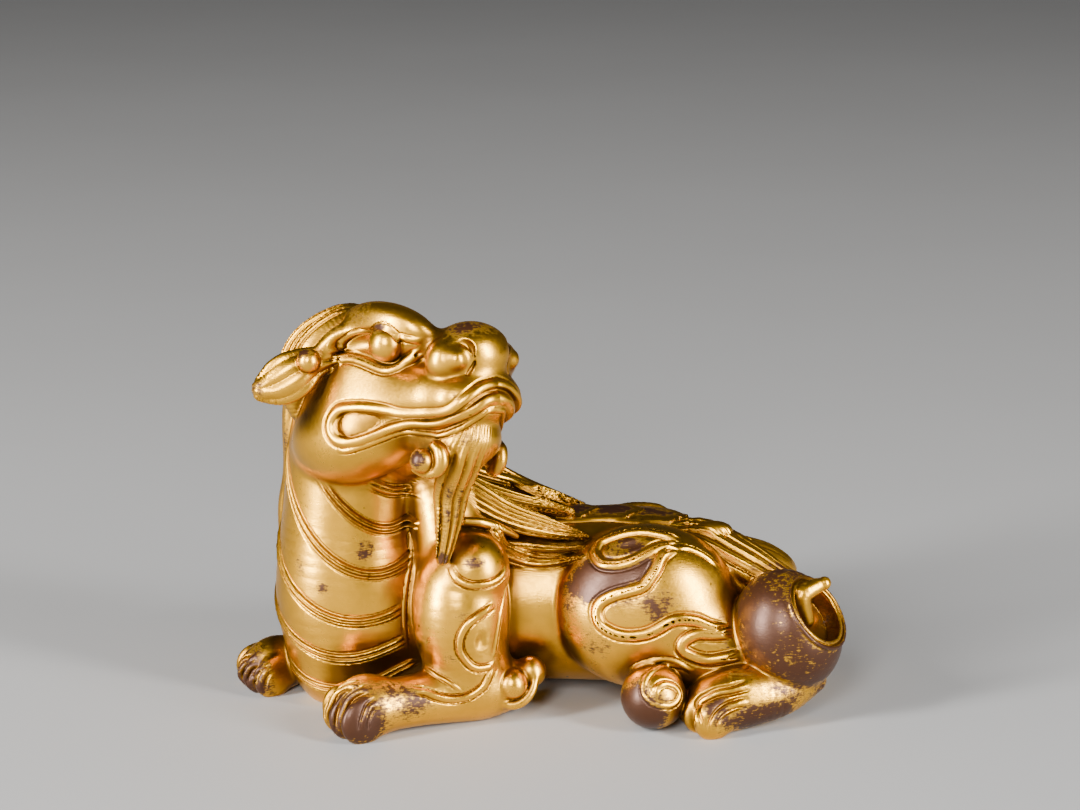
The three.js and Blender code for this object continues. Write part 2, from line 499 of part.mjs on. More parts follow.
const cords = [
  ...flankCords.flatMap((points) => [points, points.map(hipAcross)]).map((points) => cord(points)),
  ...shoulderCords.flatMap((points) => [points, points.map(shoulderAcross)]).map((points) => cord(points)),
  ...lipCords.flatMap((points) => [points, points.map(otherSide)])
    .map((points) => cord(points.map(fromHead), 0.9, 0.35)),
  cord(spiral([15.2, -14.6, 5.4], [0.35, -0.9, 0.25], 2.9, 0.7, 1.3, 100), 1, 0.45),
  cord(spiral([14.6, 23.4, 5], [0.35, 0.9, 0.25], 2.7, 0.7, 1.3, 100), 1, 0.45),
  cord([[-3, 3.1, 23.2], [4, 3, 23.3], [10, 3, 23.2], [14.6, 3.1, 22.6]], 0.9, 0.4),
];

// Chest bands: each sags towards the breast line and rises round the sides of the neck
function chestBands(x, y, z) {
  if (x > -12.5 || y > 8 || z > 36) return 0;
  const around = atan2(NECK_AXIS[1] - y, NECK_AXIS[0] - x) / RADIANS;
  if (around < -40 || around > 158) return 0;
  let raised = 0;
  for (const low of BAND_LOWS) {
    const breast = 84 + 2.8 * (low - 7.5);
    const sag = 6.2 + 0.36 * (low - 7.5);
    const lift = sag * (1 - cos((around - breast) * RADIANS));
    const lean = sag * sin((around - breast) * RADIANS) / 8.8;
    const off = abs(z - low - lift) / sqrt(1 + lean * lean) / (BAND_WIDTH / 2);
    if (off < 1) raised = max(raised, BAND_HEIGHT * (1 - off * off));
  }
  return raised * min(max(neckOnly(x, y, z), 0), 1);
}
// 1 on the open skin of the neck and chest, falling to 0 where a limb or the mane covers it
function neckOnly(x, y, z) {
  const other = min(nearForeleg(x, y, z), farForeleg(x, y, z), mane(x, y, z), head(x, y, z), beard(x, y, z));
  return (other - neck(x, y, z)) / 1.2;
}

// Spine: a flat raised band crossed by slanted strokes that meet at its crest
function spineBand(x, y, z) {
  if (x < -15 || x > 19 || z < 18 || z > SPINE_TOP) return 0;
  const off = abs(y - TRUNK_MID + 0.02 * (x - 2));
  const edge = min(max((SPINE_HALF_WIDTH - off) / 0.5, 0), 1);
  if (edge === 0) return 0;
  const pitch = 34 / SPINE_STROKES;
  const along = (x + off * 0.9 + 15) / pitch;
  const stroke = max(0, 1 - abs(along - Math.round(along)) * pitch / 0.5);
  return edge * (SPINE_RAISED - 0.3 * stroke);
}

function beast(x, y, z) {
  const skin = body(x, y, z);
  if (abs(skin) > 1.5) return skin;
  let raised = chestBands(x, y, z) + spineBand(x, y, z);
  for (const line of cords) raised = max(raised, line(x, y, z));
  return skin - raised;
}

// Lattice of distances, worked out only in blocks that the skin passes through
function trace(form, low, high, cell) {
  const block = 4;
  const size = low.map((value, i) => Math.ceil((high[i] - value) / cell / block) * block + 1);
  const index = (i, j, k) => (i * size[1] + j) * size[2] + k;
  const field = new Float32Array(size[0] * size[1] * size[2]).fill(1);
  const reach = block * cell * sqrt(3) / 2 * 1.2 + 0.7;
  for (let bi = 0; bi < size[0] - 1; bi += block) {
    for (let bj = 0; bj < size[1] - 1; bj += block) {
      for (let bk = 0; bk < size[2] - 1; bk += block) {
        const middle = [bi, bj, bk].map((n, i) => low[i] + (n + block / 2) * cell);
        const far = body(...middle);
        for (let i = bi; i <= bi + block; i++) {
          for (let j = bj; j <= bj + block; j++) {
            for (let k = bk; k <= bk + block; k++) {
              const at = index(i, j, k);
              if (abs(far) > reach) {
                if (field[at] === 1) field[at] = far > 0 ? 1 : -1;
              } else {
                field[at] = form(low[0] + i * cell, low[1] + j * cell, low[2] + k * cell);
              }
            }
          }
        }
      }
    }
  }
  return { field, size, index, low, cell };
}

// One vertex in each cell that the skin crosses, and one quad across each lattice edge that it crosses
function skinOf({ field, size, index, low, cell }) {
  const vertexAt = new Map();
  const points = [];
  const corners = [];
  for (let c = 0; c < 8; c++) corners.push([c & 1, (c >> 1) & 1, (c >> 2) & 1]);
  const edges = [];
  for (let a = 0; a < 8; a++) for (const bit of [1, 2, 4]) if (!(a & bit)) edges.push([a, a | bit]);
  for (let i = 0; i < size[0] - 1; i++) {
    for (let j = 0; j < size[1] - 1; j++) {
      for (let k = 0; k < size[2] - 1; k++) {
        const values = corners.map(([x, y, z]) => field[index(i + x, j + y, k + z)]);
        const inside = values.filter((value) => value < 0).length;
        if (inside === 0 || inside === 8) continue;
        const sum = [0, 0, 0];
        let crossings = 0;
        for (const [a, b] of edges) {
          if ((values[a] < 0) === (values[b] < 0)) continue;
          const t = values[a] / (values[a] - values[b]);
          for (let n = 0; n < 3; n++) sum[n] += corners[a][n] + t * (corners[b][n] - corners[a][n]);
          crossings++;
        }
        vertexAt.set(index(i, j, k), points.length / 3);
        points.push(low[0] + (i + sum[0] / crossings) * cell, low[1] + (j + sum[1] / crossings) * cell,
          low[2] + (k + sum[2] / crossings) * cell);
      }
    }
  }
  const faces = [];
  const step = [index(1, 0, 0), index(0, 1, 0), 1];
  for (let i = 1; i < size[0] - 1; i++) {
    for (let j = 1; j < size[1] - 1; j++) {
      for (let k = 1; k < size[2] - 1; k++) {
        const at = index(i, j, k);
        for (let axis = 0; axis < 3; axis++) {
          const here = field[at] < 0, there = field[at + step[axis]] < 0;
          if (here === there) continue;
          const u = step[(axis + 1) % 3], v = step[(axis + 2) % 3];
          const [a, b, c, d] = [at - u - v, at - v, at, at - u].map((n) => vertexAt.get(n));
          if (here) faces.push(a, b, c, a, c, d);
          else faces.push(a, c, b, a, d, c);
        }
      }
    }
  }
  return { points, faces };
}

// A lattice face whose corners are inside and outside by turns would pinch the skin, so would a cell
// whose inside or outside corners fall apart: their outside corners are filled until none is left
function fillPinches({ field, size, index }) {
  const corners = [0, 1, 2, 3, 4, 5, 6, 7];
  const offsets = corners.map((c) => index(c & 1, (c >> 1) & 1, (c >> 2) & 1));
  const whole = (mask) => {
    let group = mask & -mask;
    for (let round = 0; round < 4; round++) {
      for (const c of corners) {
        if (group & (1 << c)) for (const bit of [1, 2, 4]) group |= (1 << (c ^ bit)) & mask;
      }
    }
    return group === mask;
  };
  const crossed = (mask) => [[1, 2], [1, 4], [2, 4]].some(([u, v]) => corners.some((c) => {
    const [a, b, d, e] = [c, c ^ u ^ v, c ^ u, c ^ v].map((n) => (mask >> n) & 1);
    return a && b && !d && !e;
  }));
  const sound = Array.from({ length: 256 }, (_, mask) => whole(mask) && whole(255 - mask) && !crossed(mask));
  for (let round = 0, filled = 1; filled && round < 20; round++) {
    filled = 0;
    for (let i = 0; i < size[0] - 1; i++) {
      for (let j = 0; j < size[1] - 1; j++) {
        for (let k = 0; k < size[2] - 1; k++) {
          const at = index(i, j, k);
          let mask = 0;
          for (const c of corners) if (field[at + offsets[c]] < 0) mask |= 1 << c;
          if (sound[mask]) continue;
          for (const c of corners) if (!(mask & (1 << c))) field[at + offsets[c]] = -0.02;
          filled++;
        }
      }
    }
  }
}

// Smallest entry first
class Queue {
  constructor() { this.items = []; }
  push(item) {
    const items = this.items;
    let at = items.length;
    items.push(item);
    while (at > 0) {
      const above = (at - 1) >> 1;
      if (items[above].cost <= item.cost) break;
      items[at] = items[above];
      at = above;
    }
    items[at] = item;
  }
  pop() {
    const items = this.items;
    const top = items[0];
    const last = items.pop();
    if (items.length) {
      let at = 0;
      for (;;) {
        let below = 2 * at + 1;
        if (below >= items.length) break;
        if (below + 1 < items.length && items[below + 1].cost < items[below].cost) below++;
        if (items[below].cost >= last.cost) break;
        items[at] = items[below];
        at = below;
      }
      items[at] = last;
    }
    return top;
  }
}

// Thins a closed mesh to `goal` triangles, each time giving up the edge whose loss moves the skin least
function thin(points, faces, goal) {
  const STEADY = 1e-3;              // keeps the new point near the edge where the skin is flat
  const LEAST_TURN = 0.25;          // cosine of the most that a facet may turn
  const SHORT_FIRST = 1e-5;         // weight of an edge's length in what its loss costs
  const count = points.length / 3;
  const at = (v) => [points[3 * v], points[3 * v + 1], points[3 * v + 2]];
  const around = Array.from({ length: count }, () => []);
  const square = Array.from({ length: count }, () => new Float64Array(10));
  const stamp = new Int32Array(count);
  const alive = new Uint8Array(faces.length / 3).fill(1);
  const normalOf = (a, b, c) => cross(plus(b, a, -1), plus(c, a, -1));
  for (let f = 0; f < alive.length; f++) {
    const [a, b, c] = [faces[3 * f], faces[3 * f + 1], faces[3 * f + 2]];
    const n = normalOf(at(a), at(b), at(c));
    const area = sqrt(dot(n, n));
    for (const v of [a, b, c]) around[v].push(f);
    if (area < 1e-12) continue;
    const [x, y, z] = scaled(n, 1 / area), w = -dot([x, y, z], at(a));
    const terms = [x * x, x * y, x * z, x * w, y * y, y * z, y * w, z * z, z * w, w * w];
    for (const v of [a, b, c]) terms.forEach((term, i) => { square[v][i] += term * area; });
  }
  const queue = new Queue();
  const consider = (a, b) => {
    const q = square[a].map((value, i) => value + square[b][i]);
    const pa = at(a), pb = at(b);
    const mid = scaled(plus(pa, pb), 0.5);
    const firm = STEADY * (q[0] + q[4] + q[7]) + 1e-9;
    const [m00, m01, m02, m11, m12, m22] = [q[0] + firm, q[1], q[2], q[4] + firm, q[5], q[7] + firm];
    const rhs = [firm * mid[0] - q[3], firm * mid[1] - q[6], firm * mid[2] - q[8]];
    const c0 = m11 * m22 - m12 * m12, c1 = m02 * m12 - m01 * m22, c2 = m01 * m12 - m02 * m11;
    const det = m00 * c0 + m01 * c1 + m02 * c2;
    const p = [
      (c0 * rhs[0] + c1 * rhs[1] + c2 * rhs[2]) / det,
      (c1 * rhs[0] + (m00 * m22 - m02 * m02) * rhs[1] + (m01 * m02 - m00 * m12) * rhs[2]) / det,
      (c2 * rhs[0] + (m01 * m02 - m00 * m12) * rhs[1] + (m00 * m11 - m01 * m01) * rhs[2]) / det,
    ];
    const [x, y, z] = p;
    const moved = q[0] * x * x + q[4] * y * y + q[7] * z * z + q[9]
      + 2 * (q[1] * x * y + q[2] * x * z + q[3] * x + q[5] * y * z + q[6] * y + q[8] * z);
    const edge = plus(pb, pa, -1);
    queue.push({ cost: max(moved, 0) + SHORT_FIRST * dot(edge, edge), a, b, p, sa: stamp[a], sb: stamp[b] });
  };
  const neighbours = (v) => {
    const found = new Set();
    for (const f of around[v]) for (let i = 0; i < 3; i++) found.add(faces[3 * f + i]);
    found.delete(v);
    return found;
  };
  const holds = (f, v) => faces[3 * f] === v || faces[3 * f + 1] === v || faces[3 * f + 2] === v;
  const turnsOver = (v, other, p) => around[v].some((f) => {
    if (holds(f, other)) return false;
    const old = [0, 1, 2].map((i) => at(faces[3 * f + i]));
    const next = [0, 1, 2].map((i) => (faces[3 * f + i] === v ? p : old[i]));
    const before = normalOf(...old), after = normalOf(...next);
    const least = LEAST_TURN * sqrt(dot(before, before) * dot(after, after));
    return dot(before, after) <= least || dot(after, after) < 1e-7;
  });
  for (let f = 0; f < alive.length; f++) {
    for (let i = 0; i < 3; i++) {
      const a = faces[3 * f + i], b = faces[3 * f + (i + 1) % 3];
      if (a < b) consider(a, b);
    }
  }
  let left = alive.length;
  while (left > goal && queue.items.length) {
    const { a, b, p, sa, sb } = queue.pop();
    if (stamp[a] !== sa || stamp[b] !== sb) continue;
    const nextToB = neighbours(b);
    const shared = [...neighbours(a)].filter((v) => nextToB.has(v)).length;
    if (shared !== 2 || turnsOver(a, b, p) || turnsOver(b, a, p)) continue;
    for (const f of around[b]) {
      if (holds(f, a)) {
        alive[f] = 0;
        left--;
      } else {
        for (let i = 0; i < 3; i++) if (faces[3 * f + i] === b) faces[3 * f + i] = a;
        around[a].push(f);
      }
    }
    for (const v of nextToB) around[v] = around[v].filter((f) => alive[f]);
    around[a] = around[a].filter((f) => alive[f]);
    around[b] = [];
    stamp[b] = -1;
    stamp[a]++;
    p.forEach((value, i) => { points[3 * a + i] = value; });
    square[b].forEach((value, i) => { square[a][i] += value; });
    for (const v of neighbours(a)) consider(a, v);
  }
  return faces.filter((_, i) => alive[Math.floor(i / 3)]);
}

const wasm = await Module();
wasm.setup();

function solidOf(points, faces) {
  return new wasm.Manifold(new wasm.Mesh({
    numProp: 3, vertProperties: Float32Array.from(points), triVerts: Uint32Array.from(faces),
  }));
}

// The casting is traced below the floor and then ground off flat, so that all that touches is level
function groundCasting() {
  const lattice = trace(beast, [-41, -21, -3.2], [41, 27, 55], CELL);
  fillPinches(lattice);
  const { points, faces } = skinOf(lattice);
  const box = new THREE.BoxGeometry(120, 120, 20).translate(0, 0, FLOOR_CUT - 10);
  const block = mergeVertices(box.deleteAttribute('normal').deleteAttribute('uv'));
  const floor = solidOf(block.attributes.position.array, block.index.array);
  const { vertProperties, triVerts } = solidOf(points, faces).subtract(floor).getMesh();
  return { points: Array.from(vertProperties), faces: Array.from(triVerts) };
}

function beastGeometry() {
  const { points, faces } = groundCasting();
  const kept = thin(points, faces, TRIANGLES);
  for (let i = 2; i < points.length; i += 3) if (points[i] < FLOOR_CUT + LEVEL) points[i] = FLOOR_CUT;
  const order = new Map();
  for (const v of kept) if (!order.has(v)) order.set(v, order.size);
  const positions = new Float32Array(order.size * 3);
  for (const [from, to] of order) for (let i = 0; i < 3; i++) positions[3 * to + i] = points[3 * from + i];
  const geometry = new THREE.BufferGeometry();
  geometry.setAttribute('position', new THREE.BufferAttribute(positions, 3));
  geometry.setIndex(kept.map((v) => order.get(v)));
  geometry.computeBoundingBox();
  const middle = geometry.boundingBox.getCenter(new THREE.Vector3());
  geometry.translate(-middle.x, -middle.y, 0);
  geometry.computeVertexNormals();
  return geometry;
}

const casting = new THREE.Mesh(beastGeometry(), new THREE.MeshStandardMaterial(GOLD));
casting.name = 'beast_casting';

const paperweight = new THREE.Group();
paperweight.add(casting);

export default paperweight;
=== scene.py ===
# %% [markdown]
# # A gilt bronze beast paperweight
#
# The real object is one solid bronze casting, as long as a finger. A mythical beast lies on its belly
# and turns its head over its shoulder. It was modelled in wax, cast, chased with small punches, gilded,
# and then rubbed by hands for a very long time, so that the gold is gone from some high places.
#
# A figure like this could be sculpted with brushes, or built from subdivision surfaces. Here it is
# described by distances instead: a form is a function that says how far a point in space is from its
# skin. Two masses that flow into each other, as wax does, are then one line of arithmetic, and carving
# is a height that is added to the skin. Everything is in millimetres until the mesh is made.

from functools import reduce
from math import cos, pi, radians, sin

import bpy
import numpy as np
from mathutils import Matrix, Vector


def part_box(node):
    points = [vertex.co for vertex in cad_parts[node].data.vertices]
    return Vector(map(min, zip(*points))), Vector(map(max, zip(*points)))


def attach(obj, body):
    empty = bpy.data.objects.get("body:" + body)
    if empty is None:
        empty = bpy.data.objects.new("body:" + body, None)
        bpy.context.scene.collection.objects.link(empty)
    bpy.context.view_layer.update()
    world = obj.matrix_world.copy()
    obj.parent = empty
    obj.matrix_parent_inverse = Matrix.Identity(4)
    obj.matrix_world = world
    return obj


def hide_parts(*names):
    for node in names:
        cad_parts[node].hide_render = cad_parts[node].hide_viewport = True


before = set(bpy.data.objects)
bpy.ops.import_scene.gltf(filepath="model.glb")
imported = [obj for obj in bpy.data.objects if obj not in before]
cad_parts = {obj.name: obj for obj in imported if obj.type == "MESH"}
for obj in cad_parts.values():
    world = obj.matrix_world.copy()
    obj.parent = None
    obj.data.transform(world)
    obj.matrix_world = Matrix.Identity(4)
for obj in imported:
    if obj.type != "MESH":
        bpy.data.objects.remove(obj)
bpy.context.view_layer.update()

# %% [markdown]
# ## Distances
#
# Points come as an array of three rows, x, y and z, with one column for each point, so that one call
# measures many points at once. Beyond a short reach an exact distance isn't needed, which lets a long
# form skip the points that are far from it. Two forms are joined with a soft valley between them, as
# a thumb leaves it in wax, and the size of that valley is the last argument.

# %% Joining and cutting
REACH = 5.0             # beyond this distance a form only says "far"


def merge(a, b, soft):
    overlap = np.maximum(soft - np.abs(a - b), 0) / soft
    return np.minimum(a, b) - overlap * overlap * soft / 4


def carve(a, b, soft):
    return -merge(-a, b, soft)


def joined(soft, *forms):
    return lambda p: reduce(lambda d, form: merge(d, form(p), soft), forms, np.float32(4 * REACH))


def unit(v):
    v = np.asarray(v, float)
    return v / np.sqrt(v @ v)


# %% Balls and eggs
def ball(centre, radius):
    middle = np.asarray(centre, np.float32)[:, None]

    def form(p):
        off = p - middle
        return np.sqrt(np.einsum("in,in->n", off, off)) - np.float32(radius)
    return form


def egg(centre, radii, axes=np.eye(3)):
    middle = np.asarray(centre, np.float32)[:, None]
    turn = np.asarray(axes, np.float32)
    size = np.asarray(radii, np.float32)[:, None]

    def form(p):
        off = (turn @ (p - middle)) / size
        near = np.sqrt(np.einsum("in,in->n", off, off))
        off /= size
        slope = np.sqrt(np.einsum("in,in->n", off, off))
        return near * (near - 1) / np.maximum(slope, 1e-6)
    return form


def tilted(degrees):
    a = radians(degrees)
    return [[cos(a), 0, sin(a)], [0, 1, 0], [-sin(a), 0, cos(a)]]


# %% [markdown]
# ## Limbs and locks
#
# A leg is a round bar of changing thickness along a curve. A lock of hair is a flat one: it has a half
# width, a half thickness and a side that faces out, and fine grooves part it into strands. Both follow
# a smooth curve through a few rows of numbers, cut into short straight stretches.

# %% Curves through points
def spline(rows, spans=5):
    """A smooth curve through rows of numbers, cut into `spans` stretches between two rows."""
    rows = np.asarray(rows, float)
    rows = np.vstack([2 * rows[0] - rows[1], rows, 2 * rows[-1] - rows[-2]])
    out = []
    for a, b, c, d in zip(rows, rows[1:], rows[2:], rows[3:]):
        for t in np.arange(spans) / spans:
            out.append(b + 0.5 * t * (c - a + t * (2 * a - 5 * b + 4 * c - d + t * (3 * b - a - 3 * c + d))))
    return np.array(out + [rows[-2]])


def box_round(points, margin):
    return points[:, :3].min(0) - margin, points[:, :3].max(0) + margin


def nearby(p, box):
    low, high = box
    inside = (p[0] > low[0]) & (p[0] < high[0])
    for k in (1, 2):
        inside &= (p[k] > low[k]) & (p[k] < high[k])
    return inside


def to_stretch(q, start, run):
    """How far along a straight stretch each point is, and its offset from there."""
    off = q - start[:3, None].astype(np.float32)
    run = run[:3].astype(np.float32)
    t = np.clip((run @ off) / (run @ run), 0, 1)
    return t, off - run[:, None] * t


# %% Round limbs and flat locks
def limb(rows, spans=5):
    """A round bar: each row is a place and a radius."""
    line = spline(rows, spans)
    runs = np.diff(line, axis=0)
    box = box_round(line, REACH + line[:, 3].max())

    def form(p):
        near = nearby(p, box)
        q = p[:, near]
        best = np.full(q.shape[1], REACH, np.float32)
        for start, run in zip(line, runs):
            t, off = to_stretch(q, start, run)
            np.minimum(best, np.sqrt(np.einsum("in,in->n", off, off)) - start[3] - t * run[3], out=best)
        out = np.full(p.shape[1], REACH, np.float32)
        out[near] = best
        return out
    return form


HAIR = []               # every lock's measure, and how many fine hairs lie side by side on it


def lock(rows, facing, strands=0, depth=0.3, hairs=0, spans=6):
    """A flat bar: each row is a place, a half width and a half thickness, and it faces one way."""
    line = spline(rows, spans)
    runs = np.diff(line, axis=0)
    box = box_round(line, REACH + line[:, 3].max())
    across = [unit(np.cross(run[:3], facing)).astype(np.float32) for run in runs]

    def measure(p):
        """Distance to the lock, and how far across it the point lies, from -1 to 1."""
        near = nearby(p, box)
        q = p[:, near]
        best = np.full(q.shape[1], REACH, np.float32)
        side = np.zeros_like(best)
        for start, run, sideways in zip(line, runs, across):
            t, off = to_stretch(q, start, run)
            wide = (start[3] + t * run[3]).astype(np.float32)
            thick = (start[4] + t * run[4]).astype(np.float32)
            u = (sideways @ off) / wide
            rest = np.maximum(np.einsum("in,in->n", off, off) - (u * wide) ** 2, 0) / thick ** 2
            size = np.sqrt(u * u + rest)
            gap = size * (size - 1) / np.maximum(np.sqrt((u / wide) ** 2 + rest / thick ** 2), 1e-6)
            closer = gap < best
            best = np.where(closer, gap, best)
            side = np.where(closer, u, side)
        out = np.full((2, p.shape[1]), REACH, np.float32)
        out[:, near] = best, side
        return out

    def form(p):
        gap, side = measure(p)
        return gap + depth * (1 - np.abs(np.cos(pi * strands * (side + 1) / 2))) if strands else gap
    if hairs:
        HAIR.append((measure, hairs))
    return form


# %% [markdown]
# ## The head
#
# The head looks up and towards the viewer. It is built in a frame of its own, forward, side and up, and
# both halves are made at once by folding the side coordinate over. Skull, cheek, muzzle and chin are
# soft eggs. The brow is a smooth hood over an almond-shaped hollow that holds a round eye. The nose is
# a broad bulb between two round nostrils, and the mouth is a groove that widens to a drop at its
# corner. The ears lie back like leaves, with a small ball where they start.

# %% The head's own frame
HEAD = np.array([-17.3, -4.0, 40.5])    # middle of the head
HEAD_YAW, HEAD_PITCH, HEAD_ROLL = 45, 14, 10
EYE_RADIUS = 2.25
NOSTRIL_RADIUS = 2.6
MOUTH_DEPTH = 0.8
BROW_LEAN = 0.42        # the near brow stands higher than the far one
HEAD_SPAN = 22          # no part of the head is further from its middle


def head_frame():
    yaw, pitch, roll = radians(HEAD_YAW), radians(HEAD_PITCH), radians(HEAD_ROLL)
    forward = np.array([cos(yaw) * cos(pitch), -sin(yaw) * cos(pitch), sin(pitch)])
    level = np.array([-sin(yaw), -cos(yaw), 0])
    upright = np.cross(level, forward)
    side = level * cos(roll) + upright * sin(roll)
    return np.array([forward, side, upright * cos(roll) - level * sin(roll)])


HEAD_AXES = head_frame()


def from_head(points):
    return HEAD + np.asarray(points, float) @ HEAD_AXES


print("the nose points along", HEAD_AXES[0].round(2))


# %% The head's forms
def sunk(skin, outline, depth, soft):
    """A recess with a flat floor: inside the outline the skin lies deeper."""
    return carve(skin, np.maximum(outline, -skin - depth), soft)


def make_head():
    skull = egg([-2.5, 0, 1.5], [11, 9.2, 8.9])
    cheek = egg([-4.7, 4.1, -3.8], [9.4, 6.2, 6], tilted(8))
    muzzle = egg([8.5, 0, 0.2], [9, 7.4, 5])
    upper_lip = egg([14.2, 0, -0.4], [3.5, 6.2, 2.9])
    nose = egg([13.5, 0, 5.1], [4.5, 4.9, 3.9])
    nostril = ball([13.3, 4.1, 4.3], NOSTRIL_RADIUS)
    nostril_lobe = ball([15.3, 4.3, 4.3], 1.35)
    nostril_hole = limb([[15.2, 5.2, 6.1, 0.2], [16, 4.2, 6.4, 0.45], [16.5, 3.1, 5.8, 0.5],
                         [16.6, 2.6, 4.5, 0.35], [16.5, 2.7, 3.4, 0.2], [16.2, 3.3, 2.4, 0.15]])
    bridge = egg([10.8, 0, 6], [4, 2.8, 2.2])
    chin = egg([10.2, 0, -5.2], [6, 4.8, 3.8])
    brow = egg([3.6, 4.2, 6.2], [7.8, 4.4, 3.8], tilted(-6))
    temple = limb([[-3.8, 10.2, 5.4, 1], [-2.8, 9.3, 6.9, 1.3], [-1.2, 8, 8.1, 1.6], [1, 6.4, 8.4, 2]])
    socket = egg([4.8, 9.5, 6.8], [6.2, 3.4, 2], tilted(-2))
    eye = ball([5.9, 7.1, 6.8], EYE_RADIUS)
    mouth = limb([[0.6, 9.1, -2.8, 1.6], [3.4, 8.2, -2.7, 1.25], [5.6, 7.4, -2.6, 0.75],
                  [7.8, 6.6, -2.6, 0.4], [10.6, 5.6, -2.8, 0.3], [12.6, 5.3, -2.8, 0.3],
                  [15, 5, -2.3, 0.3], [16.6, 4.3, -1.6, 0.3], [17.3, 2.9, -0.6, 0.3],
                  [17.8, 1.4, 0.2, 0.3], [18, -0.2, 0.5, 0.3]])
    ear = lock([[-2.8, 8.6, 5.4, 1.2, 1.2], [-4.1, 10.8, 5, 2.2, 1.2], [-5.2, 12.5, 3.9, 3, 1.3],
                [-6.7, 14, 2.8, 2.9, 1.3], [-8, 15.2, 2.2, 1.9, 1.2], [-8.3, 15.5, 2.2, 1.3, 1.1]],
               [0.8, 0.6, 0], 3, 0.25)
    ear_ball = ball([-3.3, 11.9, 5.3], 1.5)
    ear_tip = ball([-8.2, 15.2, 2.2], 1.3)
    chin_curl = ball([10.3, 6, -7.7], 1.55)
    chin_hook = limb([[11.8, 5.2, -6, 0.7], [12.4, 4.9, -6.8, 0.95], [12.4, 4.8, -8, 0.95],
                      [11.75, 4.9, -8.9, 0.8], [10.7, 5.2, -9.3, 0.65], [9.65, 5.6, -9.15, 0.5],
                      [8.9, 6.1, -8.7, 0.4]])
    tuft = lock([[-3.4, 2.2, 11.2, 1, 0.8], [-5.2, 3.6, 10.7, 2.2, 1.6], [-7.3, 5.6, 9, 3, 2.1],
                 [-9.1, 7.4, 6.6, 3.2, 2.1], [-10.6, 8, 3, 2.9, 1.9], [-11, 7.2, -0.5, 1.4, 1.2]],
                [0.3, 0.8, 0.4], 0, 0, 16)

    def form(p):
        out = np.full(p.shape[1], REACH, np.float32)
        off = p - HEAD[:, None].astype(np.float32)
        near = np.einsum("in,in->n", off, off) < (HEAD_SPAN + REACH) ** 2
        q = HEAD_AXES.astype(np.float32) @ off[:, near]
        far_side = np.maximum(-q[1], 0)
        leaning = q.copy()
        leaning[2] -= BROW_LEAN * q[1]
        leaning[1] = np.abs(q[1])
        q[1] = leaning[1]
        d = merge(skull(q), cheek(q), 3)
        d = merge(d, muzzle(q), 4)
        d = merge(d, upper_lip(q), 2)
        d = merge(d, nose(q), 1.6)
        d = merge(d, merge(nostril(q), nostril_lobe(q), 0.5), 0.7)
        d = merge(d, bridge(q), 2)
        d = merge(d, chin(q), 1.6)
        d = merge(d, brow(leaning), 1.6)
        d = merge(d, temple(q) + BROW_LEAN * far_side, 1)
        d = carve(d, socket(q), 0.5)
        d = merge(d, eye(q), 0.2)
        d = sunk(d, mouth(q), MOUTH_DEPTH, 0.4)
        d = carve(d, nostril_hole(q), 0.3)
        d = merge(d, tuft(q), 0.4)
        d = merge(d, merge(ear(q), ear_tip(q), 0.6), 0.4)
        d = merge(d, ear_ball(q), 0.25)
        out[near] = merge(merge(d, chin_hook(q), 0.5), chin_curl(q), 0.25)
        return out
    return form


head = make_head()

# %% [markdown]
# ## Neck, trunk and legs
#
# The neck rises straight from the chest, and the trunk runs back level from it. A low slope of metal
# fills the corner between them behind the beard. Each foreleg is an upper arm with a round dome on the
# shoulder, a forearm that lies on the table, and a paw. Each hind leg is a big egg for the haunch, a
# ball where the knee curls, and a shin that comes forward again with its paw. The far legs aren't in
# the photograph, so they repeat the near ones.

# %% Neck and trunk
NECK_AXIS = np.array([-24.2, 2.6])      # upright axis of neck and chest
TRUNK_MID = 6.1                         # y of the spine
TRUNK_RADIUS = 11.1

neck = limb([[-24, 2.6, 6, 8.4], [-24.6, 2.4, 14, 9.2], [-24.2, 2.6, 24, 8.6],
             [-23.4, 2.6, 34, 8.2], [-21.8, 1.4, 42, 7.6]], 8)
trunk = limb([[-20, 5.5, 12.4, 10.4], [-8, TRUNK_MID, 12.2, 10.8], [4, TRUNK_MID, 12.2, TRUNK_RADIUS],
              [14, 6, 11.9, 11.1], [22, 5, 10.6, 9.8], [28, 4, 8.6, 7.6]], 8)
slope_of_shoulder = limb([[-15.8, 2.4, 38, 3.2], [-14.4, 1.6, 32, 3.8], [-12, -0.8, 26, 4.6],
                          [-10.6, -2.6, 19, 5]])


# %% Paws and forelegs
def paw(middle, ahead, toes, size):
    """A heel with toes side by side, pointing along `ahead` over the table."""
    forward = unit([*ahead, 0])
    sideways = np.array([-forward[1], forward[0], 0])
    spacing = 1.9 / toes
    digits = []
    for i in range(toes):
        place = i - (toes - 1) / 2
        tip = np.array(middle) + sideways * place * size * spacing
        tip += forward * size * (0.5 - 0.08 * place * place)
        turn = unit(forward + sideways * place * 0.14)
        digits.append(egg([tip[0], tip[1], size * 0.6], [size * 0.72, size * spacing * 0.62, size * 0.68],
                          [turn, [-turn[1], turn[0], 0], [0, 0, 1]]))
    heel = egg(middle, [size * 0.95, size * 0.9, size * 0.85])
    return joined(0.7, heel, *digits)


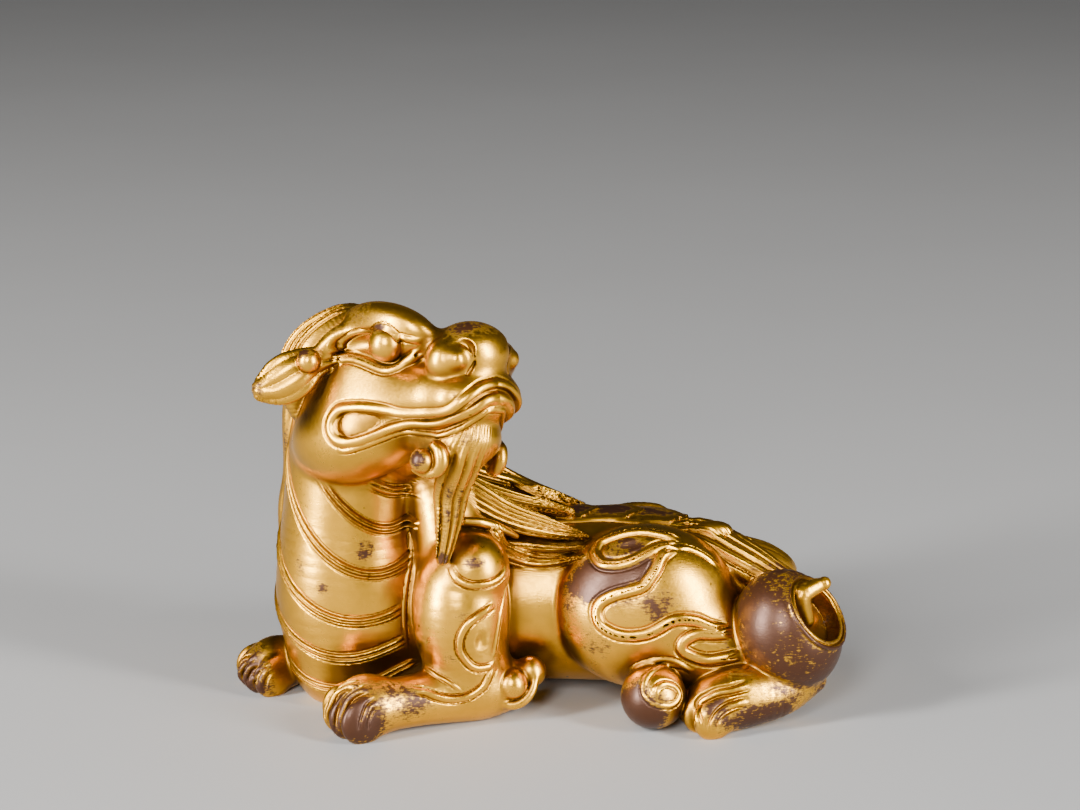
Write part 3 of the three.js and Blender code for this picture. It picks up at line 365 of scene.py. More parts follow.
def near_foreleg():
    upper_arm = limb([[-9.4, -5.4, 19.6, 4.9], [-10, -6.2, 15, 6.1], [-9.6, -6.4, 9.5, 5.6],
                      [-7.8, -6.4, 5, 4.4]], 7)
    forearm = limb([[-3.6, -5.2, 3.6, 3], [-9, -7.6, 3.6, 3.6], [-15, -10.4, 3.6, 3.3],
                    [-20, -12.6, 3.4, 3.2]], 6)
    arm = joined(2, upper_arm, forearm)
    dome = ball([-8.7, -6.9, 19.7], 4.9)
    foot = paw([-21.6, -12.4, 3.6], [-19, -7.6], 4, 4.5)
    corner = ball([-1.2, -6.2, 5.8], 2)
    hook = limb([[-6, -8.4, 6, 0.4], [-5.7, -8.8, 4.2, 0.5], [-4.7, -9, 2.8, 0.6], [-3.3, -9.1, 2.4, 0.65],
                 [-1.9, -8.8, 3, 0.65], [-1, -8.2, 4.2, 0.65], [-0.6, -7.6, 5.6, 0.5]])
    elbow = joined(0.2, ball([-3.5, -8.6, 5], 1.95), hook)

    def form(p):
        d = merge(merge(arm(p), dome(p), 0.6), foot(p), 1.2)
        return merge(merge(d, corner(p), 1), elbow(p), 0.4)
    return form


def far_foreleg():
    upper_arm = limb([[-20, 11.4, 22.5, 5], [-20.6, 12.4, 16.5, 5.6], [-19.8, 12.8, 9.5, 5.2],
                      [-18, 12.8, 5, 4.4]], 7)
    forearm = limb([[-15, 13, 3.6, 3], [-21, 11.6, 3.6, 3.4], [-29, 7.2, 3.4, 3.1], [-33.4, 5, 3.2, 3]], 6)
    arm = joined(2, upper_arm, forearm)
    foot = paw([-34.2, 4.4, 3.2], [-17, -7.6], 4, 4.1)
    elbow = ball([-12.4, 14.6, 4.6], 1.75)
    return lambda p: merge(merge(arm(p), foot(p), 1.2), elbow(p), 0.4)


# %% Hind legs
NEAR_HIP = np.array([13.4, -2.2, 13.2])
FAR_HIP = np.array([13.0, 12.2, 12.0])
FAR_HIP_SCALE = 0.94
HIP_RADII = np.array([11.8, 8.6, 10.6])
KNEE_CURL_RADIUS = 4.1


def hind_leg(hip, size, side):
    def at(point):
        return hip + (np.asarray(point) - NEAR_HIP) * [size, -side * size, size]
    haunch = egg(hip, HIP_RADII * size)
    rump = egg(at([22, -4, 8]), np.array([9, 6, 6]) * size)
    knee = ball([*at([14.2, -11, 4.4])[:2], 4.2], KNEE_CURL_RADIUS * size)
    shin = [[34.6, -6.6, 4.8, 1.6], [30, -8.6, 4.4, 3.5], [25, -10.4, 3.9, 4], [22.6, -11.2, 3.5, 3.6]]
    leg = limb([[*at(row[:3])[:2], row[2] * size, row[3] * size] for row in shin], 6)
    foot = paw([*at([22.4, -11.4, 3.6])[:2], 3.4], [-12.8, side * 4.8], 3, 4 * size)

    def form(p):
        d = merge(merge(haunch(p), rump(p), 3), knee(p), 0.5)
        return merge(d, merge(leg(p), foot(p), 1), 0.5)
    return form


LEGS = [near_foreleg(), far_foreleg(), hind_leg(NEAR_HIP, 1, -1), hind_leg(FAR_HIP, FAR_HIP_SCALE, 1)]


def torso(p):
    d = merge(merge(neck(p), trunk(p), 4), slope_of_shoulder(p), 1.5)
    return reduce(lambda d, leg: merge(d, leg(p), 0.7), LEGS, d)


# %% [markdown]
# ## The tail
#
# The tail leaves the rump as a striated root, swells to a knuckle, and winds into a smooth ball on the
# haunch. The ball is cut flat and hollowed to a shallow cup, and the tip of the tail lies across the
# cup like a small hook. A second curl, guessed, goes round the far side.

# %% Coil, root and tip
COIL = np.array([31.2, -6.6, 11.4])
COIL_RADII = [6.8, 7, 7.9]
COIL_LEAN = 20
COIL_OUT = unit([0.68, -0.41, 0.61])
COIL_MOUTH_RADIUS = 4.1
COIL_MOUTH_HEIGHT = 5
COIL_CUP_DEPTH = 2.2
COIL_RIMS = [4.3, 5]
COIL_RIM_THICKNESS = 0.28


def make_tail():
    coil = egg(COIL, COIL_RADII, tilted(COIL_LEAN))
    root = lock([[14, 5, 19.4, 1.8, 1], [20, 3.2, 20.6, 3.3, 2.2], [25.3, 0.8, 18.6, 3.4, 2.4],
                 [29.6, -1.6, 16.6, 2.7, 2.2], [32.6, -3.8, 15.4, 2.2, 2]], [0.3, -0.45, 0.85], 5, 0.35, 16)
    knuckle = egg([22.2, 2.2, 21.8], [2.4, 1.5, 1.3])
    side_curl = lock([[24.6, 2.4, 19.4, 2.2, 2], [28.4, 5, 17.6, 2.2, 2], [31.4, 7.2, 15, 2, 1.8],
                      [32, 9, 12, 1.4, 1.3], [30.8, 10, 10, 0.8, 0.8]], [0.6, 0.5, 0.6], 3, 0.35, 9)
    tip = joined(0.3, limb([[*(COIL + COIL_OUT * 3), 1.2], [32.6, -8.4, 16.4, 1.3], [34.6, -7.6, 17.6, 1]]),
                 ball([35.6, -7.4, 17.9], 0.85))
    out = COIL_OUT.astype(np.float32)

    def form(p):
        off = p - COIL[:, None].astype(np.float32)
        height = out @ off
        away = np.sqrt(np.maximum(np.einsum("in,in->n", off, off) - height ** 2, 0))
        d = carve(coil(p), COIL_MOUTH_HEIGHT - height, 0.4)
        cup = np.maximum(away - COIL_MOUTH_RADIUS, COIL_MOUTH_HEIGHT - COIL_CUP_DEPTH - height)
        d = carve(d, cup, 0.4)
        for rim in COIL_RIMS:
            ring = np.sqrt((away - rim) ** 2 + (height - COIL_MOUTH_HEIGHT) ** 2) - COIL_RIM_THICKNESS
            d = merge(d, ring, 0.15)
        d = merge(d, merge(root(p), knuckle(p), 0.3), 0.5)
        return merge(merge(d, side_curl(p), 0.5), tip(p), 0.3)
    return form


tail = make_tail()


# %% [markdown]
# ## Mane, swept locks and beard
#
# Hair falls from the crown down the nape in wavy locks that curl at their ends. Behind the jaw long
# locks sweep back over the shoulder and lie along the spine, with two flames below them. The beard is
# one fluted tongue of hair that hangs from the chin in front of the shoulder. All of them are flat
# locks with strands. On the far side the swept locks are mirrored across the middle of the neck and
# the trunk.

# %% Points on the skin
AROUND = np.array([[1, -1, -1], [-1, -1, 1], [-1, 1, -1], [1, 1, 1]], np.float32)


def slope(form, p, step=0.03):
    """Direction in which a form's distance grows, from four points around each point."""
    total = sum(shift[:, None] * form(p + shift[:, None] * np.float32(step)) for shift in AROUND)
    return total / np.maximum(np.sqrt(np.einsum("in,in->n", total, total)), 1e-9)


def on_skin(form, points):
    p = np.asarray(points, np.float32).T.copy()
    for _ in range(6):
        p -= slope(form, p) * form(p)
    return p.T


# %% Mane down the nape
def mane_lock(turn, end):
    """A wavy lock, so many degrees round the neck, that curls up near the height `end`."""
    def out(degrees):
        return np.array([-cos(radians(degrees)), sin(radians(degrees))])

    def at(z, r, sway, wide, thick):
        return [*(NECK_AXIS + out(turn + sway) * r), z, wide, thick]
    side = out(turn)
    rows = [[-22.6 + side[0], 3.2 + side[1], 49.2, 1.4, 1.6], at(45.6, 5.2, 4, 2.6, 2.1),
            at(38, 6.9, -3, 3, 1.9), at(29, 7.6, 3, 2.9, 1.8), at(end + 5, 8.2, -4, 2.5, 1.6),
            at(end, 8.9, 2, 1.7, 1.3), at(end - 2, 9.3, 13, 0.9, 0.9), at(end, 9.6, 20, 0.7, 0.8)]
    return lock(rows, [*side, 0], 4, 0.4, 13)


mane = joined(0.3, *[mane_lock(26 + 30 * i, 15 if i % 2 else 19) for i in range(5)])


# %% Locks swept back over the shoulder
# Each row is a place, a half width and a half thickness, and `laid` ones are moved onto the skin
SWEPT = [
    {"rows": [[-15.5, -1, 31.5, 2.2, 1.2], [-9, -1.8, 28, 2.3, 1.2], [-4, -1.6, 25, 2, 1.1],
              [1.5, -1, 23, 1.4, 1], [5.6, -0.6, 21.9, 0.5, 0.7]],
     "facing": [-0.1, -0.7, 0.7], "strands": 6},
    {"rows": [[-14.5, 2.4, 31.2, 1.6, 1.2], [-8.2, 2.2, 27.6, 1.6, 1.1], [-3.9, 2.4, 26, 1.3, 1],
              [0.1, 2.9, 24.8, 0.9, 0.9], [3.6, 3.4, 23.8, 0.4, 0.5]],
     "facing": [-0.1, -0.5, 0.85], "strands": 4},
    {"rows": [[-9.4, -6.2, 25.6, 0.6, 0.6], [-7.2, -5.6, 25.2, 0.7, 0.7], [-5, -4.6, 24.2, 0.6, 0.6],
              [-3, -3.4, 22.8, 0.3, 0.4]], "facing": [0, -0.7, 0.7], "strands": 0},
    {"rows": [[-5.6, -5.4, 24, 1.3, 1], [-3.6, -3.6, 21.6, 1.3, 1], [-2, -2.6, 19.6, 1.1, 1],
              [0.2, -2.4, 18.9, 0.9, 1], [2.4, -2.6, 19.2, 0.7, 0.9], [5.2, -4.4, 20.3, 0.4, 0.7]],
     "facing": [0, -0.9, 0.4], "strands": 3, "laid": True},
    {"rows": [[-3, -3, 23, 0.9, 0.9], [-1.6, -2.2, 21.6, 1, 1], [0.4, -1.8, 20.8, 0.9, 1],
              [2.6, -1.8, 20.6, 0.7, 0.9], [4.8, -2.6, 21.6, 0.4, 0.6]],
     "facing": [0, -0.7, 0.7], "strands": 3, "laid": True},
]
FAR_LIMIT = 14          # no further out than this on the far side, so that the skin is in reach


def swept_lock(rows, facing, strands, side, laid=False):
    """A near lock for side 1, and its mirror image on the far side for side -1."""
    rows = np.array(rows, float)
    if side < 0:
        middle = np.minimum(3.6 + np.maximum(rows[:, 0] + 15, 0) * 0.25, TRUNK_MID)
        rows[:, 1] = np.minimum(2 * middle - rows[:, 1], FAR_LIMIT)
    if laid:
        rows[:, :3] = on_skin(torso, rows[:, :3])
    return lock(rows, [facing[0], side * facing[1], facing[2]], strands, 0.25, 3 * strands)


swept = joined(0.25, *[swept_lock(side=side, **row) for row in SWEPT for side in (1, -1)])


# %% Beard
beard = lock([[*from_head([14.2, 1, -4.6]), 2.5, 1.6], [*from_head([12.5, 1.1, -7.2]), 2.9, 2.3],
              [-10.7, -12.8, 32, 2.5, 2.1], [-11.1, -12.4, 28.4, 2, 1.8], [-11.6, -12, 25, 1.4, 1.4],
              [-12, -11.7, 22.6, 1, 1]], [0.5, -0.85, 0], 4, 0.4, 12)


def body(p):
    d = merge(torso(p), tail(p), 0.5)
    d = merge(d, mane(p), 0.5)
    d = merge(d, swept(p), 0.3)
    d = merge(d, head(p), 1.0)
    return merge(d, beard(p), 0.5)


# %% [markdown]
# ## Carving
#
# The goldsmith cut scrolls, bands and spirals after casting. Most are a pair of thin ridges with a
# groove between them, set off by a finer groove on each side. One helper lays any such line on the
# skin: its curve's points are first moved onto the skin, and the height then depends only on how far a
# point is from the curve. Bands round the chest and the plates of the spine follow a formula instead.

# %% Profiles of the cut lines
def hump(u, middle, half):
    return np.maximum(1 - ((u - middle) / half) ** 2, 0) ** 2


def double_ridge(u):
    return hump(u, 0.6, 0.5) - 0.3 * hump(u, 1.25, 0.35)


def single_ridge(u):
    return hump(u, 0, 1.1) - 0.3 * hump(u, 1.3, 0.4)


def fine_groove(u):
    return -hump(u, 0, 1)


def flat_band(u):
    return np.clip((0.85 - u) / 0.25, 0, 1) - 0.6 * hump(u, 1.15, 0.35)


def toe_ridge(u):
    return 0.6 * hump(u, 0, 0.7) - hump(u, 1.25, 0.65)


# %% A line cut along the skin
FADE = 1.6              # length over which a cut line runs out at its ends


def cut_line(line, profile, width, height):
    runs = np.diff(line, axis=0)
    along = np.concatenate([[0], np.cumsum(np.linalg.norm(runs, axis=1))])
    full = np.clip(np.minimum(along, along[-1] - along) / FADE, 0, 1)
    box = box_round(line, width)

    def raised(p):
        near = nearby(p, box)
        q = p[:, near]
        best = np.full(q.shape[1], width * width, np.float32)
        share = np.zeros_like(best)
        for start, run, here, there in zip(line, runs, full, full[1:]):
            t, off = to_stretch(q, start, run)
            gap = np.einsum("in,in->n", off, off)
            closer = gap < best
            best = np.where(closer, gap, best)
            share = np.where(closer, here + t * (there - here), share)
        out = np.zeros(p.shape[1], np.float32)
        out[near] = height * share * profile(np.sqrt(best) / (width / 2))
        return out
    return raised


# %% Scrolls of haunch and shoulder
HAUNCH_LINES = [
    [[17.7, -4.5, 22.6], [15.2, -4.2, 23.4], [13, -3.8, 23.6], [11, -3.7, 23.4], [9.3, -3.8, 23],
     [7.7, -3.9, 22.2], [6.9, -4.9, 21.4], [7, -5.8, 20.9], [7.7, -6.9, 20.4], [8.8, -7.6, 20.4],
     [10.2, -7.9, 20.6], [11.8, -7.8, 21.1], [13.5, -7.2, 21.9], [15.2, -6.3, 22.4], [17.4, -5.5, 22.3]],
    [[16.8, -6.1, 22.1], [15.3, -7.4, 21.5], [14.5, -8.6, 20.2], [13.8, -9.2, 19.3], [12.8, -9.7, 18.2],
     [10.9, -9.8, 17.6], [9.4, -9.6, 17.1], [7.8, -9.4, 16.2], [7.1, -9.3, 15.2], [7.1, -9.4, 14.1],
     [7.6, -9.7, 13.1], [8.7, -10.1, 12.4], [10.2, -10.4, 12], [11.7, -10.7, 12], [13.3, -10.8, 12.3],
     [14.8, -10.7, 13], [16.2, -10.5, 13.8], [17.7, -10.2, 14], [19.6, -9.6, 13.6], [21.5, -9.2, 12.7],
     [23.4, -8.7, 12.2]],
    [[24.2, -8.6, 11.7], [21.9, -9.3, 11.8], [20, -9.8, 12], [18.6, -10.1, 11.6], [17.8, -10.2, 10.8],
     [17.9, -10.2, 9.9], [19.1, -10.1, 9.1], [20.9, -10.1, 8.6], [23, -9.9, 8.8], [25.1, -9.5, 9.2]],
]
HAUNCH_RIDGES = [
    [[17.2, -6, 22.3], [18.6, -5.4, 21.9], [20.5, -5, 20.9], [22.5, -4.7, 19.1]],
    [[11.4, -9, 6.8], [12.7, -9.8, 7.9], [14.7, -10, 8.6], [16.8, -10, 8.4], [19.1, -9.8, 6.9]],
    [[18.1, -9.9, 7.6], [15.8, -10.2, 8.1], [14, -12.3, 8.1], [13, -13.5, 7.2], [12.8, -14.4, 6],
     [13.6, -15, 5], [15, -15, 4.4], [16.7, -14.3, 4.3], [17.4, -13.3, 5.2], [16.9, -13.3, 6.3],
     [15.6, -13.8, 6.9], [14.5, -14.4, 6.5], [14.3, -14.8, 5.6]],
]
HIND_TOES = [
    [[26, -13.3, 6.5], [23.7, -14, 6.1], [22.2, -14.2, 5.9], [20.8, -14.3, 5.3], [19.8, -14.1, 4.4],
     [19.3, -15.3, 3.5], [19.5, -16.1, 2.5], [19.8, -16.1, 1.5]],
    [[26, -14.2, 4.6], [24.5, -14.7, 4.5], [23.2, -15.1, 4.1], [22.2, -15.7, 3.5], [21.6, -16.1, 2.5],
     [21.5, -16, 1.3]],
]
SHOULDER_BANDS = [
    [[-11.2, -11, 21.2], [-10.8, -11, 20.5], [-10.1, -11.3, 19.7], [-8.8, -11.4, 19.1],
     [-7.5, -11.2, 19], [-6.2, -10.6, 19.1], [-5, -9.6, 19.6], [-4.3, -8.3, 20.5]],
    [[-5.7, -10.4, 16.1], [-7.3, -11.7, 15.2], [-8.7, -12.2, 14.3], [-9.6, -12.4, 13.1], [-10, -12.3, 11.8],
     [-9.9, -12.2, 10.5], [-9.4, -12, 9.5], [-8.6, -11.8, 8.5], [-7.6, -11.5, 8], [-6.4, -10.9, 8],
     [-5.6, -10.3, 8.3]],
]
ARM_BANDS = [
    [[-16.1, -13.4, 5.9], [-14.4, -13, 5.5], [-13, -12.9, 4.9], [-11.7, -12.5, 4.4], [-10.4, -12.1, 4.2],
     [-9.2, -11.7, 4.3], [-8, -11.5, 4.8], [-6.9, -11.1, 5.7], [-6.3, -10.8, 6.8], [-5.6, -10.3, 8]],
]
ARM_SEAMS = [
    [[-14.5, -9, 7.5], [-12.9, -11.1, 7], [-11.4, -11.7, 6.3], [-9.6, -11.8, 5]],
    [[-4.1, -7.5, 20.2], [-4.3, -7.6, 17.7], [-4.5, -8.7, 16.1], [-4.9, -9.7, 14.4], [-5.4, -10.2, 11.8],
     [-5.7, -10.4, 9.3]],
    [[-14.9, 0.4, 23], [-15.4, -1, 21.9], [-16.2, -2.9, 20], [-16.7, -4.4, 17.4], [-17, -5.1, 15],
     [-17.1, -5.4, 12.4], [-16.9, -4.9, 9.2], [-16.5, -4.2, 7.5]],
]
THROAT_BAND = [[-21.5, -5.4, 30.5], [-20.4, -5, 29.8], [-19.1, -4.2, 29.1], [-17.7, -3, 28.7],
               [-16.5, -1.4, 28.7], [-15.9, 0.1, 28.9]]
SPINE_EDGE = [[-3, 3.1, 23.2], [2.5, 3, 22.9], [8, 3.3, 23.1], [11, 3, 23], [14.4, 2.9, 22.8]]
FORE_TOES = [
    [[-22.4, -14.2, 6.7], [-24.3, -13.3, 6], [-25.3, -13, 5.1], [-26, -13.3, 4], [-26.4, -13.4, 2.6],
     [-26, -14, 1]],
    [[-21.1, -14.8, 6.6], [-22.7, -15, 6], [-23.7, -15.2, 5.2], [-24.3, -15.6, 4.2], [-24.7, -15.8, 2.8],
     [-24.7, -15.6, 1.2]],
    [[-19.9, -16, 5.2], [-20.9, -16.6, 4.8], [-21.3, -17.1, 4], [-21.6, -17.4, 3.1], [-21.8, -17.4, 2]],
    [[-35.2, -0.3, 4.3], [-36.4, -0.2, 3.8], [-37, 0.6, 2.3], [-37.2, 0.8, 1.1]],
    [[-36.2, 1.3, 4.5], [-37.4, 1.1, 3.7], [-38, 1.1, 2.6], [-38.2, 1.2, 1.2]],
    [[-36.9, 1.9, 4.9], [-38.1, 3, 3.6], [-38.8, 3.4, 2.2], [-38.8, 3.6, 1]],
    [[-34.2, 0, 4.1], [-35.1, -0.5, 3.7], [-35.6, -0.7, 2.9], [-35.8, -0.8, 2], [-36, -0.4, 1]],
]
HOLLOWS = [
    [[9.2, -6.2, 21.6], [11.1, -6.2, 22.4], [13.4, -5.9, 22.8]],
    [[-6.9, -11.4, 13], [-7.3, -11.7, 11.6], [-7, -11.5, 10.4]],
]


def across_hip(points):
    """Points of the near haunch, moved to the far one."""
    return FAR_HIP + (np.array(points) - NEAR_HIP) * [FAR_HIP_SCALE, -FAR_HIP_SCALE, FAR_HIP_SCALE]


def across_shoulder(points):
    """Points of the near shoulder, moved to the far one."""
    return np.array(points) * [1, -1, 1] + [-10.6, 6.6, 0.4]


# A kind of line is its profile, its width and its height
DOUBLE = (double_ridge, 1.5, 0.42)
SINGLE = (single_ridge, 0.8, 0.3)
BAND = (flat_band, 1, 0.3)
TOE = (toe_ridge, 1, 0.32)
SEAM = (single_ridge, 0.55, 0.18)
HOLLOW = (fine_groove, 2, 0.4)

LINES = [(points, *DOUBLE) for points in HAUNCH_LINES]
LINES += [(points, *SINGLE) for points in HAUNCH_RIDGES]
LINES += [(points, *SEAM) for points in ARM_SEAMS]
LINES += [(points, *BAND) for points in SHOULDER_BANDS + ARM_BANDS]
LINES += [(points, *TOE) for points in HIND_TOES + FORE_TOES]
LINES += [(points, *HOLLOW) for points in HOLLOWS]
LINES += [(across_hip(points), *DOUBLE) for points in HAUNCH_LINES]
LINES += [(across_hip(points), *SINGLE) for points in HAUNCH_RIDGES]
LINES += [(across_hip(points), *TOE) for points in HIND_TOES]
LINES += [(across_shoulder(points), *BAND) for points in SHOULDER_BANDS]
LINES.append((THROAT_BAND, double_ridge, 1.2, 0.3))
LINES.append((SPINE_EDGE, *SINGLE))

# %% Lips, eyelids and ridges of the brow
RIM = (single_ridge, 1.3, 0.4)
HEAD_LINES = [
    ([[17.6, -0.6, 1.3], [17.5, 1.8, 0.9], [17.2, 3.2, 0.2], [16.7, 4.4, -0.7], [15, 5.2, -1.5],
      [12.6, 5.7, -2], [10, 6.4, -2.1], [7.6, 7, -1.9], [5.9, 7.5, -1.4], [3.5, 8.3, -0.9],
      [1.2, 9, -0.7], [-0.8, 9.7, -0.9], [-2, 9.9, -2.2], [-2, 9.9, -3.7], [-0.9, 9.4, -4.8],
      [1.4, 8.7, -5], [3.2, 7.8, -4.5], [4.9, 7, -4], [6.6, 6.3, -3.6], [8.4, 5.8, -3.4], [10.4, 5.4, -3.5],
      [12.6, 5, -3.5], [14.6, 4.3, -3], [16, 3.6, -2.4], [17, 2.5, -1.5], [17.6, 1.3, -0.8],
      [17.8, -0.4, -0.6]], *RIM),
    ([[-1.6, 9.2, -5.7], [-0.5, 8.8, -5.9], [1.6, 8.1, -5.6], [3.8, 7, -5], [5.4, 6.1, -4.5],
      [7.3, 5.3, -4.3], [10, 5.3, -4.5], [12.6, 4.8, -4.7], [14.2, 3.8, -4.2], [15.4, 2.8, -3.6],
      [16.5, 2, -2.9], [17.3, 1.2, -2.2], [17.3, -0.4, -2.1]], single_ridge, 0.7, 0.3),
    ([[-2.8, 7.8, 7.6], [-1.3, 8.1, 7.8], [0.5, 8.1, 8.3], [2.1, 7.7, 8.9], [3.4, 7.1, 9.4],
      [4.6, 6.6, 9.5], [6, 6.4, 9.2], [7.3, 6.3, 8.6], [8.6, 6.2, 7.8], [9.4, 5.7, 7.3],
      [9.9, 4.9, 7.2]], single_ridge, 0.9, 0.4),
    ([[-2.6, 8.5, 5.1], [-1, 8.4, 5.6], [0.6, 8.2, 5.6], [1.4, 8.1, 5.4], [2.8, 7.9, 4.9], [4.3, 7.6, 4.3],
      [5.4, 7.2, 3.9], [6.6, 6.8, 4], [7.8, 6.3, 4.5], [9, 5.7, 4.9], [10, 4.7, 5.8]],
     double_ridge, 1.3, 0.35),
    ([[-4.6, 3.6, 12.3], [-6.6, 5.4, 11.5], [-8.9, 7.2, 9.6], [-10.6, 8.6, 7], [-11.8, 9.4, 3.6]],
     double_ridge, 1.1, 0.25),
    ([[-4.4, 4.4, 12.3], [-6, 6.4, 11.1], [-7.8, 8, 9], [-9, 9.2, 6.6], [-9.6, 9.8, 4]],
     double_ridge, 1, 0.22),
]
for points, *kind in HEAD_LINES:
    LINES += [(from_head(np.array(points) * [1, side, 1]), *kind) for side in (1, -1)]


def all_cuts(lines):
    """Every line's points are moved onto the skin in one go, which is much faster than line by line."""
    curves = [spline(points, 6) for points, *_ in lines]
    laid = on_skin(body, np.vstack(curves))
    ends = np.cumsum([len(curve) for curve in curves])
    return [cut_line(laid[end - len(curve):end], *kind)
            for curve, end, (_, *kind) in zip(curves, ends, lines)]


cuts = all_cuts(LINES)
print(len(cuts), "lines are cut into the skin")

# %% Bands of the chest
BAND_LOWS = [3.0, 7.5, 12.5, 18.5, 24.0, 28.6]      # lowest point of each band
BAND_WIDTH = 1.2
BAND_HEIGHT = 0.32
BREAST_TURN = 84        # where the second band is lowest, in degrees round the neck's axis
BAND_SAG = 6.2          # how far the second band rises from there to the side of the neck
NECK_GIRTH = 8.8        # mean radius of the neck


def chest_bands(p):
    """Each band sags towards the breast line and rises round the sides of the neck."""
    near = (p[0] < -12.5) & (p[1] < 8) & (p[2] < 36)
    q = p[:, near]
    around = np.degrees(np.arctan2(NECK_AXIS[1] - q[1], NECK_AXIS[0] - q[0]))
    raised = np.zeros(q.shape[1], np.float32)
    for low in BAND_LOWS:
        above = low - BAND_LOWS[1]
        sag = BAND_SAG + 0.36 * above
        turn = np.radians(around - BREAST_TURN - 2.8 * above)
        lean = sag * np.sin(turn) / NECK_GIRTH
        off = np.abs(q[2] - low - sag * (1 - np.cos(turn))) / np.sqrt(1 + lean * lean)
        raised += BAND_HEIGHT * double_ridge(off / (BAND_WIDTH / 2))
    others = np.min([LEGS[0](q), LEGS[1](q), mane(q), head(q), beard(q)], axis=0)
    bare = np.clip((others - neck(q)) / 1.2, 0, 1) * ((around > -40) & (around < 158))
    out = np.zeros(p.shape[1], np.float32)
    out[near] = raised * bare
    return out


# %% Plates of the spine
SPINE_HALF_WIDTH = 3.0
SPINE_RAISED = 0.4
SPINE_PITCH = 5.7
SPINE_START, SPINE_END = -15, 19
SPINE_LOW, SPINE_TOP = 18, 26       # the back lies between these heights


def spine_plates(p):
    """The raised band, and how far along its plate a point is, from 0 to 1."""
    off = np.abs(p[1] - TRUNK_MID + 0.02 * (p[0] - 2))
    on_back = (p[0] > SPINE_START) & (p[0] < SPINE_END) & (p[2] > SPINE_LOW) & (p[2] < SPINE_TOP)
    band = np.clip((SPINE_HALF_WIDTH - off) / 0.3, 0, 1) * on_back
    along = (p[0] + off * 0.9 - SPINE_START) / SPINE_PITCH
    return band, along - np.floor(along)


def carved(p):
    heights = [cut(p) for cut in cuts]
    ridges = reduce(np.maximum, heights)
    grooves = reduce(np.minimum, heights)
    return np.where(ridges > 0, ridges, grooves) + chest_bands(p)


CARVING_REACH = 1.2     # carving counts this close to the uncarved skin


def relief(p):
    band, along = spine_plates(p)
    return carved(p) + SPINE_RAISED * band * (0.6 + 0.6 * along ** 2)


def beast(p):
    """The whole casting, ground flat at the height of the table."""
    d = body(p)
    near = np.abs(d) < CARVING_REACH
    d[near] -= relief(p[:, near])
    return np.maximum(d, -p[2])


# %% [markdown]
# ## From distances to a mesh
#
# A lattice of points fills the figure's box. Most of it is far from the skin, so a coarse lattice is
# measured first and only the points near the skin are measured finely. Wherever the skin passes
# between two neighbours, one vertex is set in each cell around, and the four cells round that edge
# make a face. Each vertex is then pushed onto the true skin.

# %% A lattice that is fine only near the skin
def stretch_out(grid, times):
    """Fills in `times` steps between the points of a lattice, by straight lines."""
    for axis in range(3):
        a = np.moveaxis(grid, axis, 0)
        out = np.empty(((len(a) - 1) * times + 1, *a.shape[1:]), np.float32)
        for i in range(times):
            out[i:-1:times] = a[:-1] + (a[1:] - a[:-1]) * np.float32(i / times)
        out[-1] = a[-1]
        grid = np.moveaxis(out, 0, axis)
    return np.ascontiguousarray(grid)


def in_batches(form, p, batch=400_000):
    return np.concatenate([form(p[:, i:i + batch]) for i in range(0, p.shape[1], batch)])


NEAR_SKIN = 0.9         # closer than this the fine lattice is measured


def lattice(form, low, high, cell, times=4):
    """Distances on a lattice that fills a box, exact only near the skin."""
    low = np.asarray(low, np.float32)
    count = np.ceil((np.asarray(high) - low) / (cell * times)).astype(int) + 1
    places = np.indices(count).reshape(3, -1).astype(np.float32)
    coarse = in_batches(form, low[:, None] + places * np.float32(cell * times)).reshape(count)
    grid = stretch_out(coarse, times)
    near = np.argwhere(np.abs(grid) < NEAR_SKIN)
    grid[tuple(near.T)] = in_batches(form, low[:, None] + near.T.astype(np.float32) * np.float32(cell))
    return grid


# %% One vertex for each cell that the skin crosses
CORNERS = [(i, j, k) for i in (0, 1) for j in (0, 1) for k in (0, 1)]


def nets(grid, low, cell):
    """A vertex in each cell that the skin crosses, at the mean of the crossings on its edges."""
    inside = grid < 0
    size = np.array(grid.shape) - 1
    count = sum(inside[i:i + size[0], j:j + size[1], k:k + size[2]].astype(np.int8) for i, j, k in CORNERS)
    mixed = (count > 0) & (count < 8)
    cells = np.argwhere(mixed)
    number = np.full(mixed.shape, -1, np.int64)
    number[mixed] = np.arange(len(cells))
    value = {c: grid[tuple((cells + c).T)] for c in CORNERS}
    total = np.zeros((len(cells), 3))
    hits = np.zeros(len(cells))
    for a in CORNERS:
        for axis in range(3):
            if a[axis]:
                continue
            b = tuple(1 if k == axis else a[k] for k in range(3))
            crossed = (value[a] < 0) != (value[b] < 0)
            place = np.tile(np.array(a, float), (len(cells), 1))
            place[:, axis] = value[a] / np.where(crossed, value[a] - value[b], 1)
            total[crossed] += place[crossed]
            hits += crossed
    points = np.asarray(low) + (cells + total / hits[:, None]) * cell
    return points, net_faces(inside, number)


def net_faces(inside, number):
    """Four vertices round each edge of the lattice that the skin crosses."""
    faces = []
    for axis in range(3):
        u, v = (axis + 1) % 3, (axis + 2) % 3
        here = [slice(1, -1)] * 3
        here[axis] = slice(0, -1)
        there = list(here)
        there[axis] = slice(1, None)
        a, b = inside[tuple(here)], inside[tuple(there)]
        for leaving in (True, False):
            at = np.argwhere(a & ~b if leaving else ~a & b)
            at[:, u] += 1
            at[:, v] += 1
            ring = []
            for du, dv in ((1, 1), (0, 1), (0, 0), (1, 0)):
                spot = at.copy()
                spot[:, u] -= du
                spot[:, v] -= dv
                ring.append(number[tuple(spot.T)])
            faces.append(np.stack(ring if leaving else ring[::-1], 1))
    return np.vstack(faces)


# %% The beast's mesh
CELL = 0.18
LOW, HIGH = (-41, -21, -1.2), (41, 27, 55)

